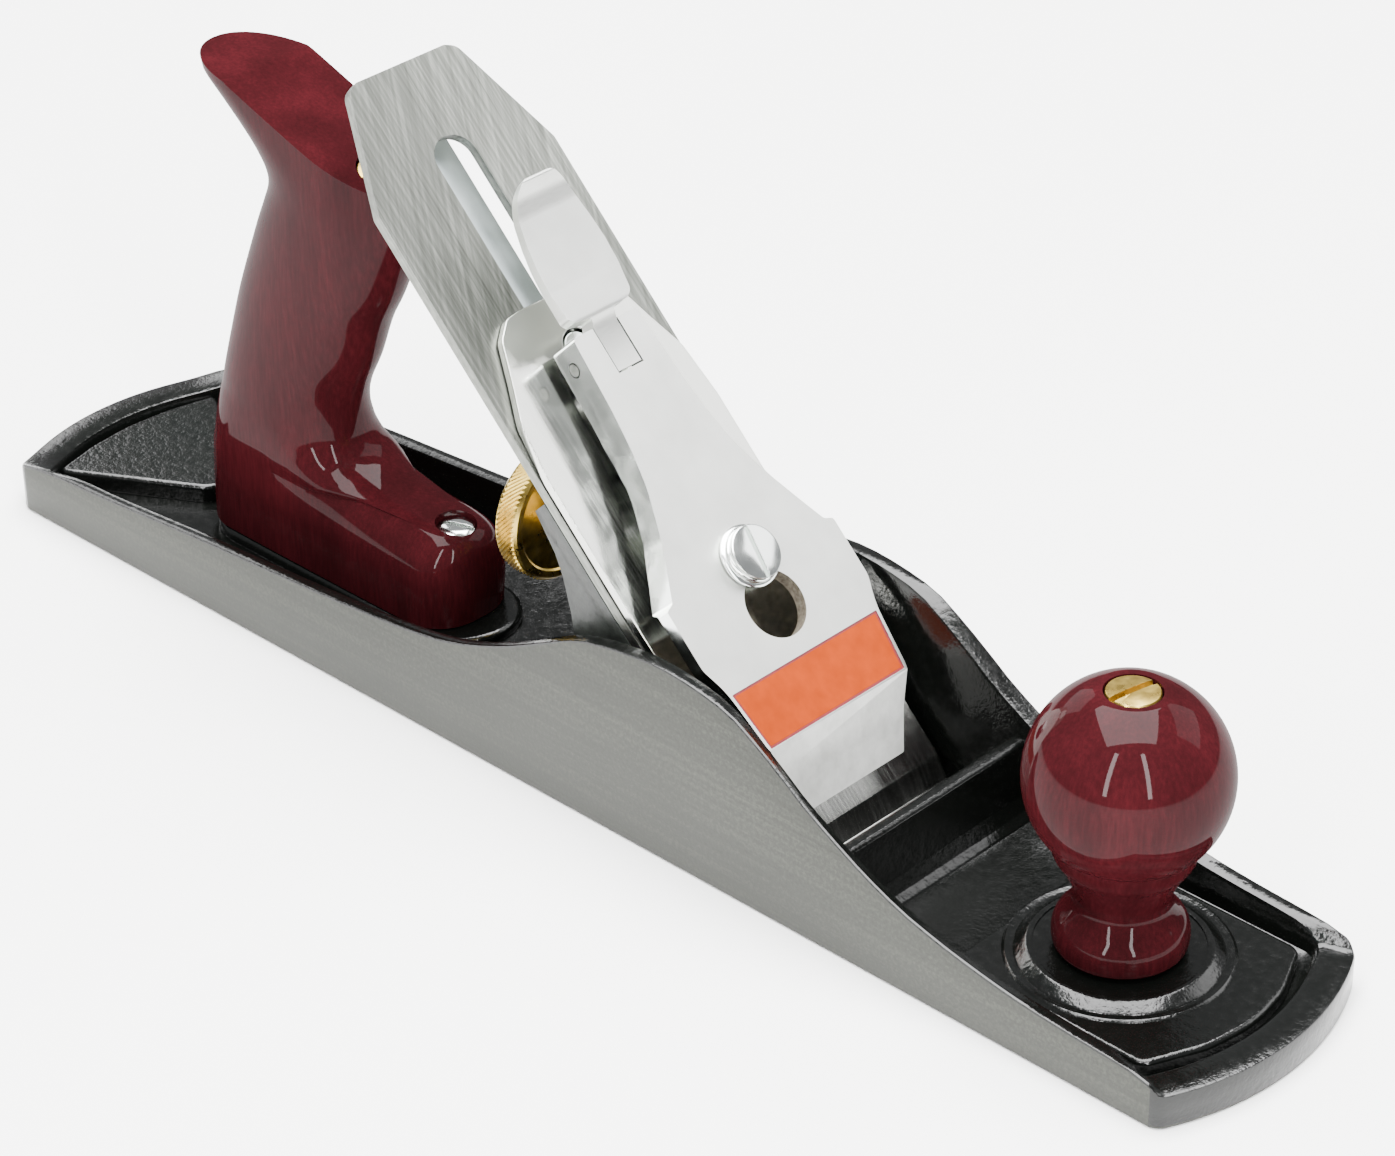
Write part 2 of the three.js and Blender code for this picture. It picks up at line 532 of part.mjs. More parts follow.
function camLever() {
  const blade = [
    [CAM_S - 1, 13.1], [CAM_S + 5, LEVER_CAP_TOP - 0.1], [CAM_S + 8, 15.1], [134.5, 15.7], [145, 16.9], [152, 17.5],
    [157.3, 18.3], [158, 17.9], [157.2, 15.9], [152, 14.9], [145, 14.3], [134, 13], [127.6, 11.9],
    [124.2, 8.9], [CAM_S, 4],
  ];
  const plan = mirrored([
    [CAM_S - 6, CAM_TONGUE / 2], [CAM_S + 7.5, CAM_TONGUE / 2], [CAM_S + 8, 7.5], [CAM_S + 9.2, 9.2], [134.5, 10], [140, 9.7],
    [145, 8.8], [151, 6.9], [155, 5], [157.2, 3], [158, 1],
  ]);
  const cam = alongY(rod(4.2, -CAM_TONGUE / 2, CAM_TONGUE / 2, 28)).translate([CAM_S, 0, CAM_H]);
  const lobe = [[CAM_S - 0.5, 4.05], [CAM_S, 4], [CAM_S + 3, CAM_H], [CAM_S - 3, CAM_H]];
  return sideSolid(blade, -12, 12)
    .intersect(planSolid(plan, 0, 30))
    .add(cam)
    .add(sideSolid(lobe, -CAM_TONGUE / 2, CAM_TONGUE / 2))
    .subtract(alongY(rod(CAM_PIN_RADIUS + GAP, -20, 20)).translate([CAM_S, 0, CAM_H]));
}

// Its head clears the keyhole's round end, and its collar bears on the lever cap's face.
function leverCapScrew() {
  const seat = LEVER_CAP_TOP + GAP;
  const profile = [
    [0, -11], [2.9, -11], [CAP_SCREW_RADIUS, -10], [CAP_SCREW_RADIUS, seat], [7, seat], [7, seat + 0.9],
    [6.1, seat + 1.1], [6.1, seat + 1.7], [5.6, seat + 1.8], [5.6, seat + 2.3], [6.1, seat + 2.4],
    [6.1, seat + 3.1], [5.7, seat + 3.5], [0, seat + 3.5],
  ];
  const slot = block(-0.75, 0.75, -8, 8, seat + 2.1, seat + 5);
  return turned(profile, 28).subtract(slot).translate([CAP_SCREW_S, 0, 0]);
}

part("lever_cap", leverCap(), nickel, bed);
part("lever_cap_spring", leverCapSpring(), darkSteel, bed);
part("spring_rivet", springRivet(), darkSteel, bed);
part("cam_lever", camLever(), nickel, bed);
const camPinHalf = NECK_HALF + 0.4;
part("cam_pin", alongY(rod(CAM_PIN_RADIUS, -camPinHalf, camPinHalf)).translate([CAM_S, 0, CAM_H]), darkSteel, bed);
part("lever_cap_screw", leverCapScrew(), nickel, bed);

// ---- Lateral lever, its roller and rivet, in the bed's frame ----
const STRIP_TOP = CHANNEL_H + 2.1;
const STRIP_THICK = 1.8;
const STRIP_HALF = 5.2;

function lateralLever() {
  const tip = 196.3;
  const bendS = tip - 13;
  const bendBack = 3.6;
  const low = STRIP_TOP - STRIP_THICK;
  const profile = [
    [96.5, low], [96.5, STRIP_TOP], [bendS, STRIP_TOP], [tip + 1, STRIP_TOP - bendBack],
    [tip + 1, low - bendBack], [bendS - 0.5, low],
  ];
  const rivetHole = rod(2.1, -20, 5).translate([LATERAL_RIVET_S, 0, 0]);
  const pin = rod(1.2, STRIP_TOP - 0.5, -0.4, 16).translate([ROLLER_S, 0, 0]);
  return sideSolid(profile, -STRIP_HALF, STRIP_HALF)
    .intersect(longHole(96.5 + STRIP_HALF, tip - STRIP_HALF, STRIP_HALF, -30, 5))
    .subtract(rivetHole)
    .add(pin);
}

// The disc runs in the iron's slot, and its hub keeps it off the strip.
function lateralRoller() {
  const hub = STRIP_TOP + GAP;
  const disc = [[1.5, hub], [2.4, hub], [2.4, -2.1], [ROLLER_RADIUS, -2.1], [ROLLER_RADIUS, -GAP], [1.5, -GAP]];
  return turned([...disc, disc[0]]).translate([ROLLER_S, 0, 0]);
}

function lateralRivet() {
  const under = STRIP_TOP + GAP;
  const profile = [[0, -11.5], [1.8, -11.5], [1.8, under], [3.2, under], [2.8, under + 1.2], [0, under + 1.3]];
  return turned(profile, 20).translate([LATERAL_RIVET_S, 0, 0]);
}

part("lateral_lever", lateralLever(), darkSteel, bed);
part("lateral_roller", lateralRoller(), nickel, bed);
part("lateral_rivet", lateralRivet(), darkSteel, bed);

// ---- Depth adjustment ----
// The yoke's tip stands through the iron's slot, and its fork holds the wheel's groove.
function depthYoke() {
  const armInner = 4.6;
  const armOuter = 6.5;
  const nub = [-12.7, 43];
  const [pivotX, pivotZ] = bedPoint(YOKE_S, YOKE_H);
  const tip = [
    [YOKE_S + 1.6, YOKE_H], [YOKE_S - 1.6, YOKE_H], [YOKE_S - 4.3, 2], [YOKE_S - 4.3, 4.5],
    [YOKE_S - 1.7, 4.5], [YOKE_S - 1.7, 2],
  ];
  const arm = [
    [pivotX, pivotZ - 1.3], [pivotX - 9.4, pivotZ - 1.1], [pivotX - 12.2, pivotZ - 4], [nub[0] + 1.2, nub[1]],
    [nub[0] - 1.1, nub[1]], [pivotX - 13.9, pivotZ - 4], [pivotX - 10.6, pivotZ + 1.5], [pivotX, pivotZ + 1.3],
  ];
  let yoke = fromBed(alongY(rod(3.2, -7.7, 7.7)).translate([YOKE_S, 0, YOKE_H]));
  yoke = yoke.add(fromBed(sideSolid(tip, -2.4, 2.4)));
  for (const side of [-1, 1]) {
    const [y0, y1] = side > 0 ? [armInner, armOuter] : [-armOuter, -armInner];
    yoke = yoke.add(sideSolid(arm, y0, y1));
    yoke = yoke.add(alongY(rod(1.2, -y1, -y0, 16)).translate([nub[0], 0, nub[1]]));
  }
  return yoke.subtract(
    fromBed(alongY(rod(YOKE_PIN_RADIUS + GAP, -10, 10)).translate([YOKE_S, 0, YOKE_H])),
  );
}

function depthWheel() {
  const hub = 6.5;
  const groove = 4.2;
  const bore = STUD_RADIUS + GAP;
  const chamfer = 0.9;
  const profile = [
    [bore, WHEEL_BACK], [7, WHEEL_BACK], [9, WHEEL_BACK + 1.2], [12.4, WHEEL_BACK + 1.2], [13.4, WHEEL_BACK],
    [WHEEL_RADIUS - chamfer, WHEEL_BACK], [WHEEL_RADIUS, WHEEL_BACK + chamfer],
    [WHEEL_RADIUS, WHEEL_FRONT - chamfer], [WHEEL_RADIUS - chamfer, WHEEL_FRONT],
    [12.6, WHEEL_FRONT], [11.6, WHEEL_FRONT - 1], [hub, WHEEL_FRONT - 1],
    [hub, WHEEL_FRONT + 3.4], [groove, WHEEL_FRONT + 3.4], [groove, WHEEL_FRONT + 8],
    [hub, WHEEL_FRONT + 8], [hub, WHEEL_FRONT + 9.5], [bore, WHEEL_FRONT + 9.5],
  ];
  return alongX(turned([...profile, profile[0]], 40)).translate([0, 0, WHEEL_Z]);
}

part("depth_yoke", depthYoke(), darkSteel);
const yokePin = part("yoke_pin", alongY(rod(YOKE_PIN_RADIUS, -11.8, 11.8)), darkSteel);
const [yokePinX, yokePinZ] = bedPoint(YOKE_S, YOKE_H);
yokePin.position.set(yokePinX, 0, yokePinZ);
part("depth_wheel", depthWheel(), brass);
const stud = rod(STUD_RADIUS, WHEEL_BACK - 6.2, 8.6);
part("depth_stud", alongX(stud), darkSteel).position.set(0, 0, WHEEL_Z);

// ---- Tote and its fixings ----
function tote() {
  const base = TOTE_PAD_TOP + GAP;
  const round = 2;
  const corners = [
    [-46.2, base], [-45.4, 16], [-46, 25], [-48, 29.2], [-51.5, 30.5], [-60, 30], [-70, 29.2], [-77, 31],
    [-82, 34.5], [-84.8, 39.5], [-85.2, 46], [-83.4, 52], [-79.2, 60], [-74.9, 70.5], [-66.2, 88],
    [-62.6, 99], [-62.5, 107], [-68, 109.4], [-86, 116], [-108, 123.5],
    [-119, 125.6], [-124.6, 124.6], [-124, 121.8], [-115, 114.5], [-108, 107], [-104.8, 99], [-110.6, 86],
    [-116.9, 70], [-121.6, 55], [-126, 39], [-128.5, 20], [-128.8, base],
  ];
  const outline = new THREE.Shape();
  outline.moveTo(...corners[0]);
  corners.slice(1).forEach((corner) => outline.lineTo(...corner));
  const options = {
    depth: TOTE_THICK - 2 * round, bevelEnabled: true, bevelThickness: round,
    bevelSize: round, bevelOffset: -round, bevelSegments: 2,
  };
  const geometry = new THREE.ExtrudeGeometry(outline, options);
  const screwHole = rod(ROD_RADIUS + GAP, -1, SKY);
  const screwSeat = rod(TOTE_SCREW_HEAD + GAP, TOTE_SCREW_Z - TOTE_SCREW_HEAD_HEIGHT - GAP, SKY);
  return solid(geometry.rotateX(Math.PI / 2).translate(0, TOTE_THICK / 2 - round, 0))
    .subtract(screwHole.translate([TOTE_SCREW_X, 0, 0]))
    .subtract(screwSeat.translate([TOTE_SCREW_X, 0, 0]))
    .subtract(alongToteRod(rod(ROD_RADIUS + GAP, -SKY, 10)))
    .subtract(alongToteRod(rod(NUT_RADIUS + GAP, -NUT_HEIGHT - 1, 12)));
}

const TOTE_SCREW_HEAD = 4.3;
const TOTE_SCREW_HEAD_HEIGHT = 3;
const NUT_RADIUS = 5.6;
const NUT_HEIGHT = 7;

// A round brass nut with a slot across its top and a blind thread from below; its top is at height 0.
function slottedNut(bore) {
  const chamfer = 0.5;
  const profile = [
    [0, -NUT_HEIGHT], [NUT_RADIUS, -NUT_HEIGHT], [NUT_RADIUS, -chamfer], [NUT_RADIUS - chamfer, 0], [0, 0],
  ];
  return turned(profile, 24)
    .subtract(rod(bore, -NUT_HEIGHT - 1, -2.6))
    .subtract(block(-8, 8, -0.8, 0.8, -1.5, 1));
}

part("tote", tote(), stainedWood);
part("tote_rod", rod(ROD_RADIUS, -toteRodLength(), -4), darkSteel, toteRodAxis);
part("tote_rod_nut", slottedNut(ROD_RADIUS + GAP), brass, toteRodAxis).position.set(0, 0, -0.7);
const toteScrewSeat = TOTE_SCREW_Z - TOTE_SCREW_HEAD_HEIGHT;
const toteScrew = slottedScrew(TOTE_SCREW_HEAD, TOTE_SCREW_HEAD_HEIGHT, ROD_RADIUS, toteScrewSeat - 2);
part("tote_toe_screw", toteScrew, nickel).position.set(TOTE_SCREW_X, 0, toteScrewSeat);

// ---- Knob and its fixings ----
const KNOB_NUT_TOP = KNOB_BALL_Z + KNOB_BALL - 1;

function knob() {
  const base = KNOB_BOSS_TOP + GAP;
  const neck = [
    [13, base], [13.5, base + 1.6], [13.5, base + 5.6], [11.4, base + 8.6], [9.7, base + 11],
    [10.3, base + 14], [11.7, base + 17.6],
  ];
  const crown = 1.2; // the flat round the nut, below the ball's full height
  const neckTop = base + 22.3;
  const start = Math.asin((neckTop - KNOB_BALL_Z) / KNOB_BALL);
  const flat = Math.asin((KNOB_BALL - crown) / KNOB_BALL);
  const rings = 12;
  const ball = Array.from({ length: rings + 1 }, (_, i) => {
    const angle = start + (flat - start) * (i / rings);
    return [KNOB_BALL * Math.cos(angle), KNOB_BALL_Z + KNOB_BALL * Math.sin(angle)];
  });
  const top = KNOB_BALL_Z + KNOB_BALL - crown;
  return turned([[0, base], ...neck, ...ball, [0, top]], 32)
    .subtract(rod(STUD_RADIUS + GAP, 0, SKY))
    .subtract(rod(NUT_RADIUS + GAP, KNOB_NUT_TOP - NUT_HEIGHT - GAP, SKY))
    .translate([KNOB_X, 0, 0]);
}

part("knob", knob(), stainedWood);
part("knob_rod", rod(STUD_RADIUS, 2, KNOB_NUT_TOP - 3), darkSteel).position.set(KNOB_X, 0, 0);
part("knob_nut", slottedNut(STUD_RADIUS + GAP), brass).position.set(KNOB_X, 0, KNOB_NUT_TOP);

export default plane;
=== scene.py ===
import json
import math

import bmesh
import bpy
from mathutils import Matrix, Vector


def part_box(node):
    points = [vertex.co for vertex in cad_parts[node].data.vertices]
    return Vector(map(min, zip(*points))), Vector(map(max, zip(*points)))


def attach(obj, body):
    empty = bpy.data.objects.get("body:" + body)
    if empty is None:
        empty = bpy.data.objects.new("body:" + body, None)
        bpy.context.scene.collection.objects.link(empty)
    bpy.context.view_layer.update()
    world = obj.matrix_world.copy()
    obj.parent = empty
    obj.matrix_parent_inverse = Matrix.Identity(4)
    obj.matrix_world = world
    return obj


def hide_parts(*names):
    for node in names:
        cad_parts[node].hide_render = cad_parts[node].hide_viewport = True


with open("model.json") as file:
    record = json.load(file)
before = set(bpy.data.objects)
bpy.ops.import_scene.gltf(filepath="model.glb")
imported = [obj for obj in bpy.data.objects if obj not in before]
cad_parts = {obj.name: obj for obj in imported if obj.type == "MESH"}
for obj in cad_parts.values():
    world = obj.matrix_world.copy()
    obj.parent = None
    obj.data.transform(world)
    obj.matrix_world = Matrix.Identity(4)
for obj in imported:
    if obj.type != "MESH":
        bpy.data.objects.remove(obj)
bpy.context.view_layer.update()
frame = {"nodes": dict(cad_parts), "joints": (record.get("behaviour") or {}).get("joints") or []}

# All pieces are shaped in millimetres and placed in metres.
MM = 0.001


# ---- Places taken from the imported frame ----
def joint(name):
    return next(j for j in frame["joints"] if j["name"] == name)


def box_mm(node):
    low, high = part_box(node)
    return low / MM, high / MM


BODY_LOW, BODY_HIGH = box_mm("body_casting")
TOE = BODY_HIGH.x
HEEL = BODY_LOW.x
HALF_WIDTH = BODY_HIGH.y
PEAK_Z = BODY_HIGH.z
KNOB_LOW, KNOB_HIGH = box_mm("knob")
KNOB_X = (KNOB_LOW.x + KNOB_HIGH.x) / 2
TILT_PIVOT = Vector(joint("iron_tilt")["pos_m"]) / MM
BED_X = TILT_PIVOT.x + TILT_PIVOT.z  # where the iron's top face would meet the sole's plane
WHEEL_LOW, WHEEL_HIGH = box_mm("depth_wheel")
WHEEL_Z = (WHEEL_LOW.z + WHEEL_HIGH.z) / 2
HALF_IRON = box_mm("plane_iron")[1].y

SLOPE = math.sqrt(0.5)
WORLD = Matrix.Identity(4)
# The bed's frame: x runs up the bed, z stands off it.
BED = Matrix(((-SLOPE, 0, SLOPE, BED_X), (0, -1, 0, 0), (SLOPE, 0, SLOPE, 0), (0, 0, 0, 1)))


def axis_frame(x, y, z, direction):
    """A frame whose z runs along direction from the point (x, y, z)."""
    turn = Vector(direction).to_track_quat("Z", "Y").to_matrix().to_4x4()
    return Matrix.Translation((x, y, z)) @ turn


# ---- Outlines ----
def arc(x, y, radius, start, end, steps):
    """Points of an arc, angles in degrees."""
    angles = [math.radians(start + (end - start) * i / steps) for i in range(steps + 1)]
    return [(x + radius * math.cos(a), y + radius * math.sin(a)) for a in angles]


def circle(radius, count):
    """Points round a circle, starting on the first axis."""
    angles = [2 * math.pi * k / count for k in range(count)]
    return [(radius * math.cos(a), radius * math.sin(a)) for a in angles]


def quadratic(first, bend, last, steps):
    """Points of a curve from first to last, drawn towards bend."""
    shares = [k / steps for k in range(steps + 1)]
    return [tuple((1 - t) ** 2 * first + 2 * t * (1 - t) * bend + t * t * last) for t in shares]


def filleted(corners, radius, steps=6):
    """A closed outline with each corner rounded. radius is one number, or one for each corner."""
    count = len(corners)
    radii = radius if isinstance(radius, (list, tuple)) else [radius] * count
    outline = []
    for i, corner in enumerate(corners):
        here = Vector(corner)
        before = Vector(corners[i - 1]) - here
        after = Vector(corners[(i + 1) % count]) - here
        half = before.angle(after) / 2
        nearly_straight = half > 1.55
        reach = min(radii[i] / math.tan(half), 0.48 * before.length, 0.48 * after.length)
        if radii[i] == 0 or nearly_straight or reach < 0.01:
            outline.append(tuple(here))
            continue
        first = here + before.normalized() * reach
        last = here + after.normalized() * reach
        outline += quadratic(first, here, last, steps)
    return outline


def curve_through(points, steps):
    """A smooth open curve through points, with the same number of steps between each pair."""
    ends = [Vector(p) for p in points]
    ends = [2 * ends[0] - ends[1], *ends, 2 * ends[-1] - ends[-2]]
    line = []
    for i in range(1, len(ends) - 2):
        a, b, c, d = ends[i - 1 : i + 3]
        for k in range(steps):
            t = k / steps
            square = (2 * a - 5 * b + 4 * c - d) * t * t
            cube = (3 * b - a - 3 * c + d) * t ** 3
            line.append(0.5 * (2 * b + (c - a) * t + square + cube))
    line.append(ends[-2])
    return [tuple(p) for p in line]


def height_at(line, x):
    """The value at x on a line of (x, value) points, given in any order."""
    points = sorted(line)
    if x <= points[0][0]:
        return points[0][1]
    for (x0, v0), (x1, v1) in zip(points, points[1:]):
        if x <= x1:
            return v0 + (v1 - v0) * (x - x0) / max(x1 - x0, 1e-9)
    return points[-1][1]


def mirrored(points):
    return [*points, *[(x, -y) for x, y in reversed(points)]]


# ---- Meshes ----
def prism(outline, low, high):
    """An outline raised from one height to another."""
    bm = bmesh.new()
    bottom = [bm.verts.new((x, y, low)) for x, y in outline]
    top = [bm.verts.new((x, y, high)) for x, y in outline]
    bm.faces.new(list(reversed(bottom)))
    bm.faces.new(top)
    for i in range(len(outline)):
        j = (i + 1) % len(outline)
        bm.faces.new((bottom[i], bottom[j], top[j], top[i]))
    bmesh.ops.recalc_face_normals(bm, faces=bm.faces)
    return bm


def side_prism(outline, half):
    """An outline in x and z, carried from -half to half along y."""
    bm = prism(outline, -half, half)
    bm.transform(Matrix(((1, 0, 0, 0), (0, 0, -1, 0), (0, 1, 0, 0), (0, 0, 0, 1))))
    return bm


def turned(profile, segments=64):
    """A profile of (radius, height) turned about z. Points on the axis close it."""
    bm = bmesh.new()
    rings = []
    for radius, height in profile:
        if radius < 1e-6:
            rings.append([bm.verts.new((0, 0, height))])
        else:
            rings.append([bm.verts.new((x, y, height)) for x, y in circle(radius, segments)])
    for low, high in zip(rings, rings[1:]):
        for k in range(segments):
            quad = [low[k % len(low)], low[(k + 1) % len(low)], high[(k + 1) % len(high)], high[k % len(high)]]
            face = list(dict.fromkeys(quad))
            if len(face) > 2:
                bm.faces.new(face)
    bmesh.ops.recalc_face_normals(bm, faces=bm.faces)
    return bm


def rod(radius, low, high, segments=32):
    """A plain round bar along z."""
    return turned([(0, low), (radius, low), (radius, high), (0, high)], segments)


def block(start_x, end_x, half, low, high):
    """A bar from start_x to end_x, as wide on either side of the middle."""
    return prism([(start_x, -half), (end_x, -half), (end_x, half), (start_x, half)], low, high)


def lofted(rings):
    """A solid of rings of the same number of points, joined one to the next and capped at both ends."""
    bm = bmesh.new()
    made = [[bm.verts.new(p) for p in ring] for ring in rings]
    for low, high in zip(made, made[1:]):
        for k in range(len(low)):
            j = (k + 1) % len(low)
            bm.faces.new((low[k], low[j], high[j], high[k]))
    bm.faces.new(list(reversed(made[0])))
    bm.faces.new(made[-1])
    bmesh.ops.recalc_face_normals(bm, faces=bm.faces)
    return bm


def piece(name, bm, material, body, place=WORLD, sharp=35):
    """Makes an object of a mesh in millimetres. It rides on a body, unless none is given."""
    bm.transform(Matrix.Scale(MM, 4) @ place)
    mesh = bpy.data.meshes.new(name)
    bm.to_mesh(mesh)
    bm.free()
    made = bpy.data.objects.new(name, mesh)
    bpy.context.scene.collection.objects.link(made)
    mesh.materials.append(material)
    mesh.shade_smooth()
    mesh.set_sharp_from_angle(angle=math.radians(sharp))
    if body:
        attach(made, body)
    return made


def settle(made, sharp=35):
    """Applies a piece's modifiers. With no angle, its shading stays as the modifiers leave it."""
    bpy.context.view_layer.update()
    graph = bpy.context.evaluated_depsgraph_get()
    mesh = bpy.data.meshes.new_from_object(made.evaluated_get(graph))
    made.modifiers.clear()
    made.data = mesh
    if sharp:
        mesh.shade_smooth()
        mesh.set_sharp_from_angle(angle=math.radians(sharp))


def cut(made, bm, place=WORLD, operation="DIFFERENCE"):
    """Cuts a mesh in millimetres out of a piece, or keeps only what they share."""
    bm.transform(Matrix.Scale(MM, 4) @ place)
    mesh = bpy.data.meshes.new("cutter")
    bm.to_mesh(mesh)
    bm.free()
    cutter = bpy.data.objects.new("cutter", mesh)
    bpy.context.scene.collection.objects.link(cutter)
    step = made.modifiers.new("cut", "BOOLEAN")
    step.operation = operation
    step.object = cutter
    step.solver = "EXACT"
    settle(made)
    bpy.data.objects.remove(cutter)


def soften(made, width, segments=3, angle=30):
    """Rounds the edges that are sharper than angle."""
    step = made.modifiers.new("edges", "BEVEL")
    step.width = width * MM
    step.segments = segments
    step.limit_method = "ANGLE"
    step.angle_limit = math.radians(angle)
    step.harden_normals = True
    settle(made, None)


def refined(node, material, body, edge):
    """A CAD node's shape with its flat faces joined up and its edges rounded."""
    bm = bmesh.new()
    bm.from_mesh(frame["nodes"][node].data)
    bmesh.ops.remove_doubles(bm, verts=bm.verts, dist=1e-6)
    bmesh.ops.dissolve_limit(bm, angle_limit=math.radians(0.6), verts=bm.verts, edges=bm.edges)
    bm.transform(Matrix.Scale(1 / MM, 4))
    made = piece(node + "_fine", bm, material, body)
    if edge:
        soften(made, edge, 2, 32)
    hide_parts(node)
    return made


# ---- Materials ----
def linear(code):
    """An sRGB hex colour as linear red, green, blue and alpha."""
    channels = [int(code[i : i + 2], 16) / 255 for i in (1, 3, 5)]
    return (*[c / 12.92 if c <= 0.04045 else ((c + 0.055) / 1.055) ** 2.4 for c in channels], 1)


def add(tree, kind, settings=None, values=None, links=None):
    """Adds a node with its settings, socket values and links."""
    made = tree.nodes.new("ShaderNode" + kind)
    for key, value in (settings or {}).items():
        setattr(made, key, value)
    for key, value in (values or {}).items():
        made.inputs[key].default_value = value
    for key, source in (links or {}).items():
        tree.links.new(source, made.inputs[key])
    return made


def start(name, **values):
    """A new material and its surface shader, with the shader's uniform values set."""
    material = bpy.data.materials.new(name)
    material.use_nodes = True
    tree = material.node_tree
    tree.nodes.clear()
    shader = add(tree, "BsdfPrincipled", values={k.replace("_", " "): v for k, v in values.items()})
    add(tree, "OutputMaterial", links={"Surface": shader.outputs["BSDF"]})
    return material, tree, shader


def place_of(tree, per_metre):
    """Object coordinates, scaled to so many repeats a metre along x, y and z."""
    coordinates = add(tree, "TexCoord")
    scale = add(tree, "Mapping", values={"Scale": per_metre}, links={"Vector": coordinates.outputs["Object"]})
    return scale.outputs["Vector"]


def noise(tree, vector, detail=3, roughness=0.5):
    values = {"Scale": 1, "Detail": detail, "Roughness": roughness}
    return add(tree, "TexNoise", values=values, links={"Vector": vector}).outputs["Fac"]


def blend(tree, share, first, second):
    """Two values mixed, with this share of the second."""
    return add(tree, "Mix", {"data_type": "FLOAT"}, {0: share}, {2: first, 3: second}).outputs[0]


def ramp(tree, source, stops):
    """Maps a value onto colours or greys at the given places."""
    made = add(tree, "ValToRGB", links={"Fac": source})
    band = made.color_ramp
    band.elements[0].position, band.elements[-1].position = stops[0][0], stops[-1][0]
    band.elements[0].color, band.elements[-1].color = stops[0][1], stops[-1][1]
    for place, colour in stops[1:-1]:
        band.elements.new(place).color = colour
    return made.outputs["Color"]


def grey(value):
    return (value, value, value, 1)


def tinted(tree, shader, source, *stops):
    """Colours the surface by a value, from stops of (value, hex colour)."""
    colours = ramp(tree, source, [(place, linear(code)) for place, code in stops])
    tree.links.new(colours, shader.inputs["Base Color"])


def roughened(tree, shader, source, *stops):
    """Sets the roughness by a value, from stops of (value, roughness)."""
    levels = ramp(tree, source, [(place, grey(level)) for place, level in stops])
    tree.links.new(levels, shader.inputs["Roughness"])


def bump(tree, shader, height, depth_mm, socket="Normal"):
    """Raises the surface by a value, by as many millimetres at its highest."""
    made = add(tree, "Bump", values={"Strength": 1, "Distance": depth_mm * MM}, links={"Height": height})
    tree.links.new(made.outputs["Normal"], shader.inputs[socket])


def surface_ground_iron():
    """Cast iron ground on a belt: an even matt grey with a fine grain and faint lines along the plane."""
    material, tree, shader = start("surface_ground_iron", Metallic=0.75)
    grain = noise(tree, place_of(tree, (1100, 1100, 1100)), 4, 0.65)
    lines = noise(tree, place_of(tree, (14, 900, 900)), 2, 0.5)
    cloud = noise(tree, place_of(tree, (14, 14, 30)), 3, 0.5)
    both = blend(tree, 0.35, grain, lines)
    tint = ramp(tree, both, [(0.3, linear("#32332f")), (0.5, linear("#3d3e3a")), (0.72, linear("#50514b"))])
    broad = ramp(tree, cloud, [(0.3, grey(0.9)), (0.7, grey(1.0))])
    multiply = {"data_type": "RGBA", "blend_type": "MULTIPLY"}
    colour = add(tree, "Mix", multiply, {0: 1.0}, {6: tint, 7: broad})
    tree.links.new(colour.outputs[2], shader.inputs["Base Color"])
    roughened(tree, shader, both, (0.3, 0.42), (0.7, 0.6))
    bump(tree, shader, both, 0.05)
    return material


def casting_enamel():
    """Black stoving enamel over rough cast iron: deep and wet-looking, with an orange peel."""
    black = linear("#060706")
    material, tree, shader = start("black_enamel_on_cast_iron", Base_Color=black, IOR=1.5, Specular_IOR_Level=0.36)
    peel = noise(tree, place_of(tree, (520, 520, 520)), 3, 0.55)
    skin = noise(tree, place_of(tree, (1500, 1500, 1500)), 2, 0.5)
    height = blend(tree, 0.3, peel, skin)
    roughened(tree, shader, peel, (0.35, 0.13), (0.7, 0.24))
    bump(tree, shader, height, 0.16)
    return material


def frog_enamel():
    """Thin grey enamel on the frog's casting: duller and lighter than the body's."""
    material, tree, shader = start("grey_enamel_on_frog", Roughness=0.34, IOR=1.5, Specular_IOR_Level=0.3)
    skin = noise(tree, place_of(tree, (500, 500, 500)), 4, 0.6)
    shade = ramp(tree, skin, [(0.3, linear("#191b19")), (0.7, linear("#2b2e2b"))])
    tree.links.new(shade, shader.inputs["Base Color"])
    bump(tree, shader, skin, 0.12)
    return material


def ground_tool_steel():
    """Hardened steel ground along and across: matt grey, with fine lengthwise and slanting scratches."""
    material, tree, shader = start("ground_tool_steel", Metallic=1.0, Anisotropic=0.4)

    def mapped(source, **values):
        return add(tree, "Mapping", values=values, links={"Vector": source}).outputs["Vector"]

    bed = mapped(add(tree, "TexCoord").outputs["Object"], Rotation=(0, math.radians(-45), 0))
    along = mapped(bed, Scale=(16, 1300, 1300))
    crossed = mapped(mapped(bed, Rotation=(0, 0, math.radians(24))), Scale=(22, 1100, 1100))
    fine = noise(tree, along, 3, 0.6)
    wide = noise(tree, crossed, 2, 0.5)
    grain = blend(tree, 0.4, fine, wide)
    tinted(tree, shader, grain, (0.32, "#575954"), (0.5, "#6e706b"), (0.7, "#8d8f89"))
    roughened(tree, shader, grain, (0.3, 0.34), (0.7, 0.5))
    bump(tree, shader, grain, 0.02)
    return material


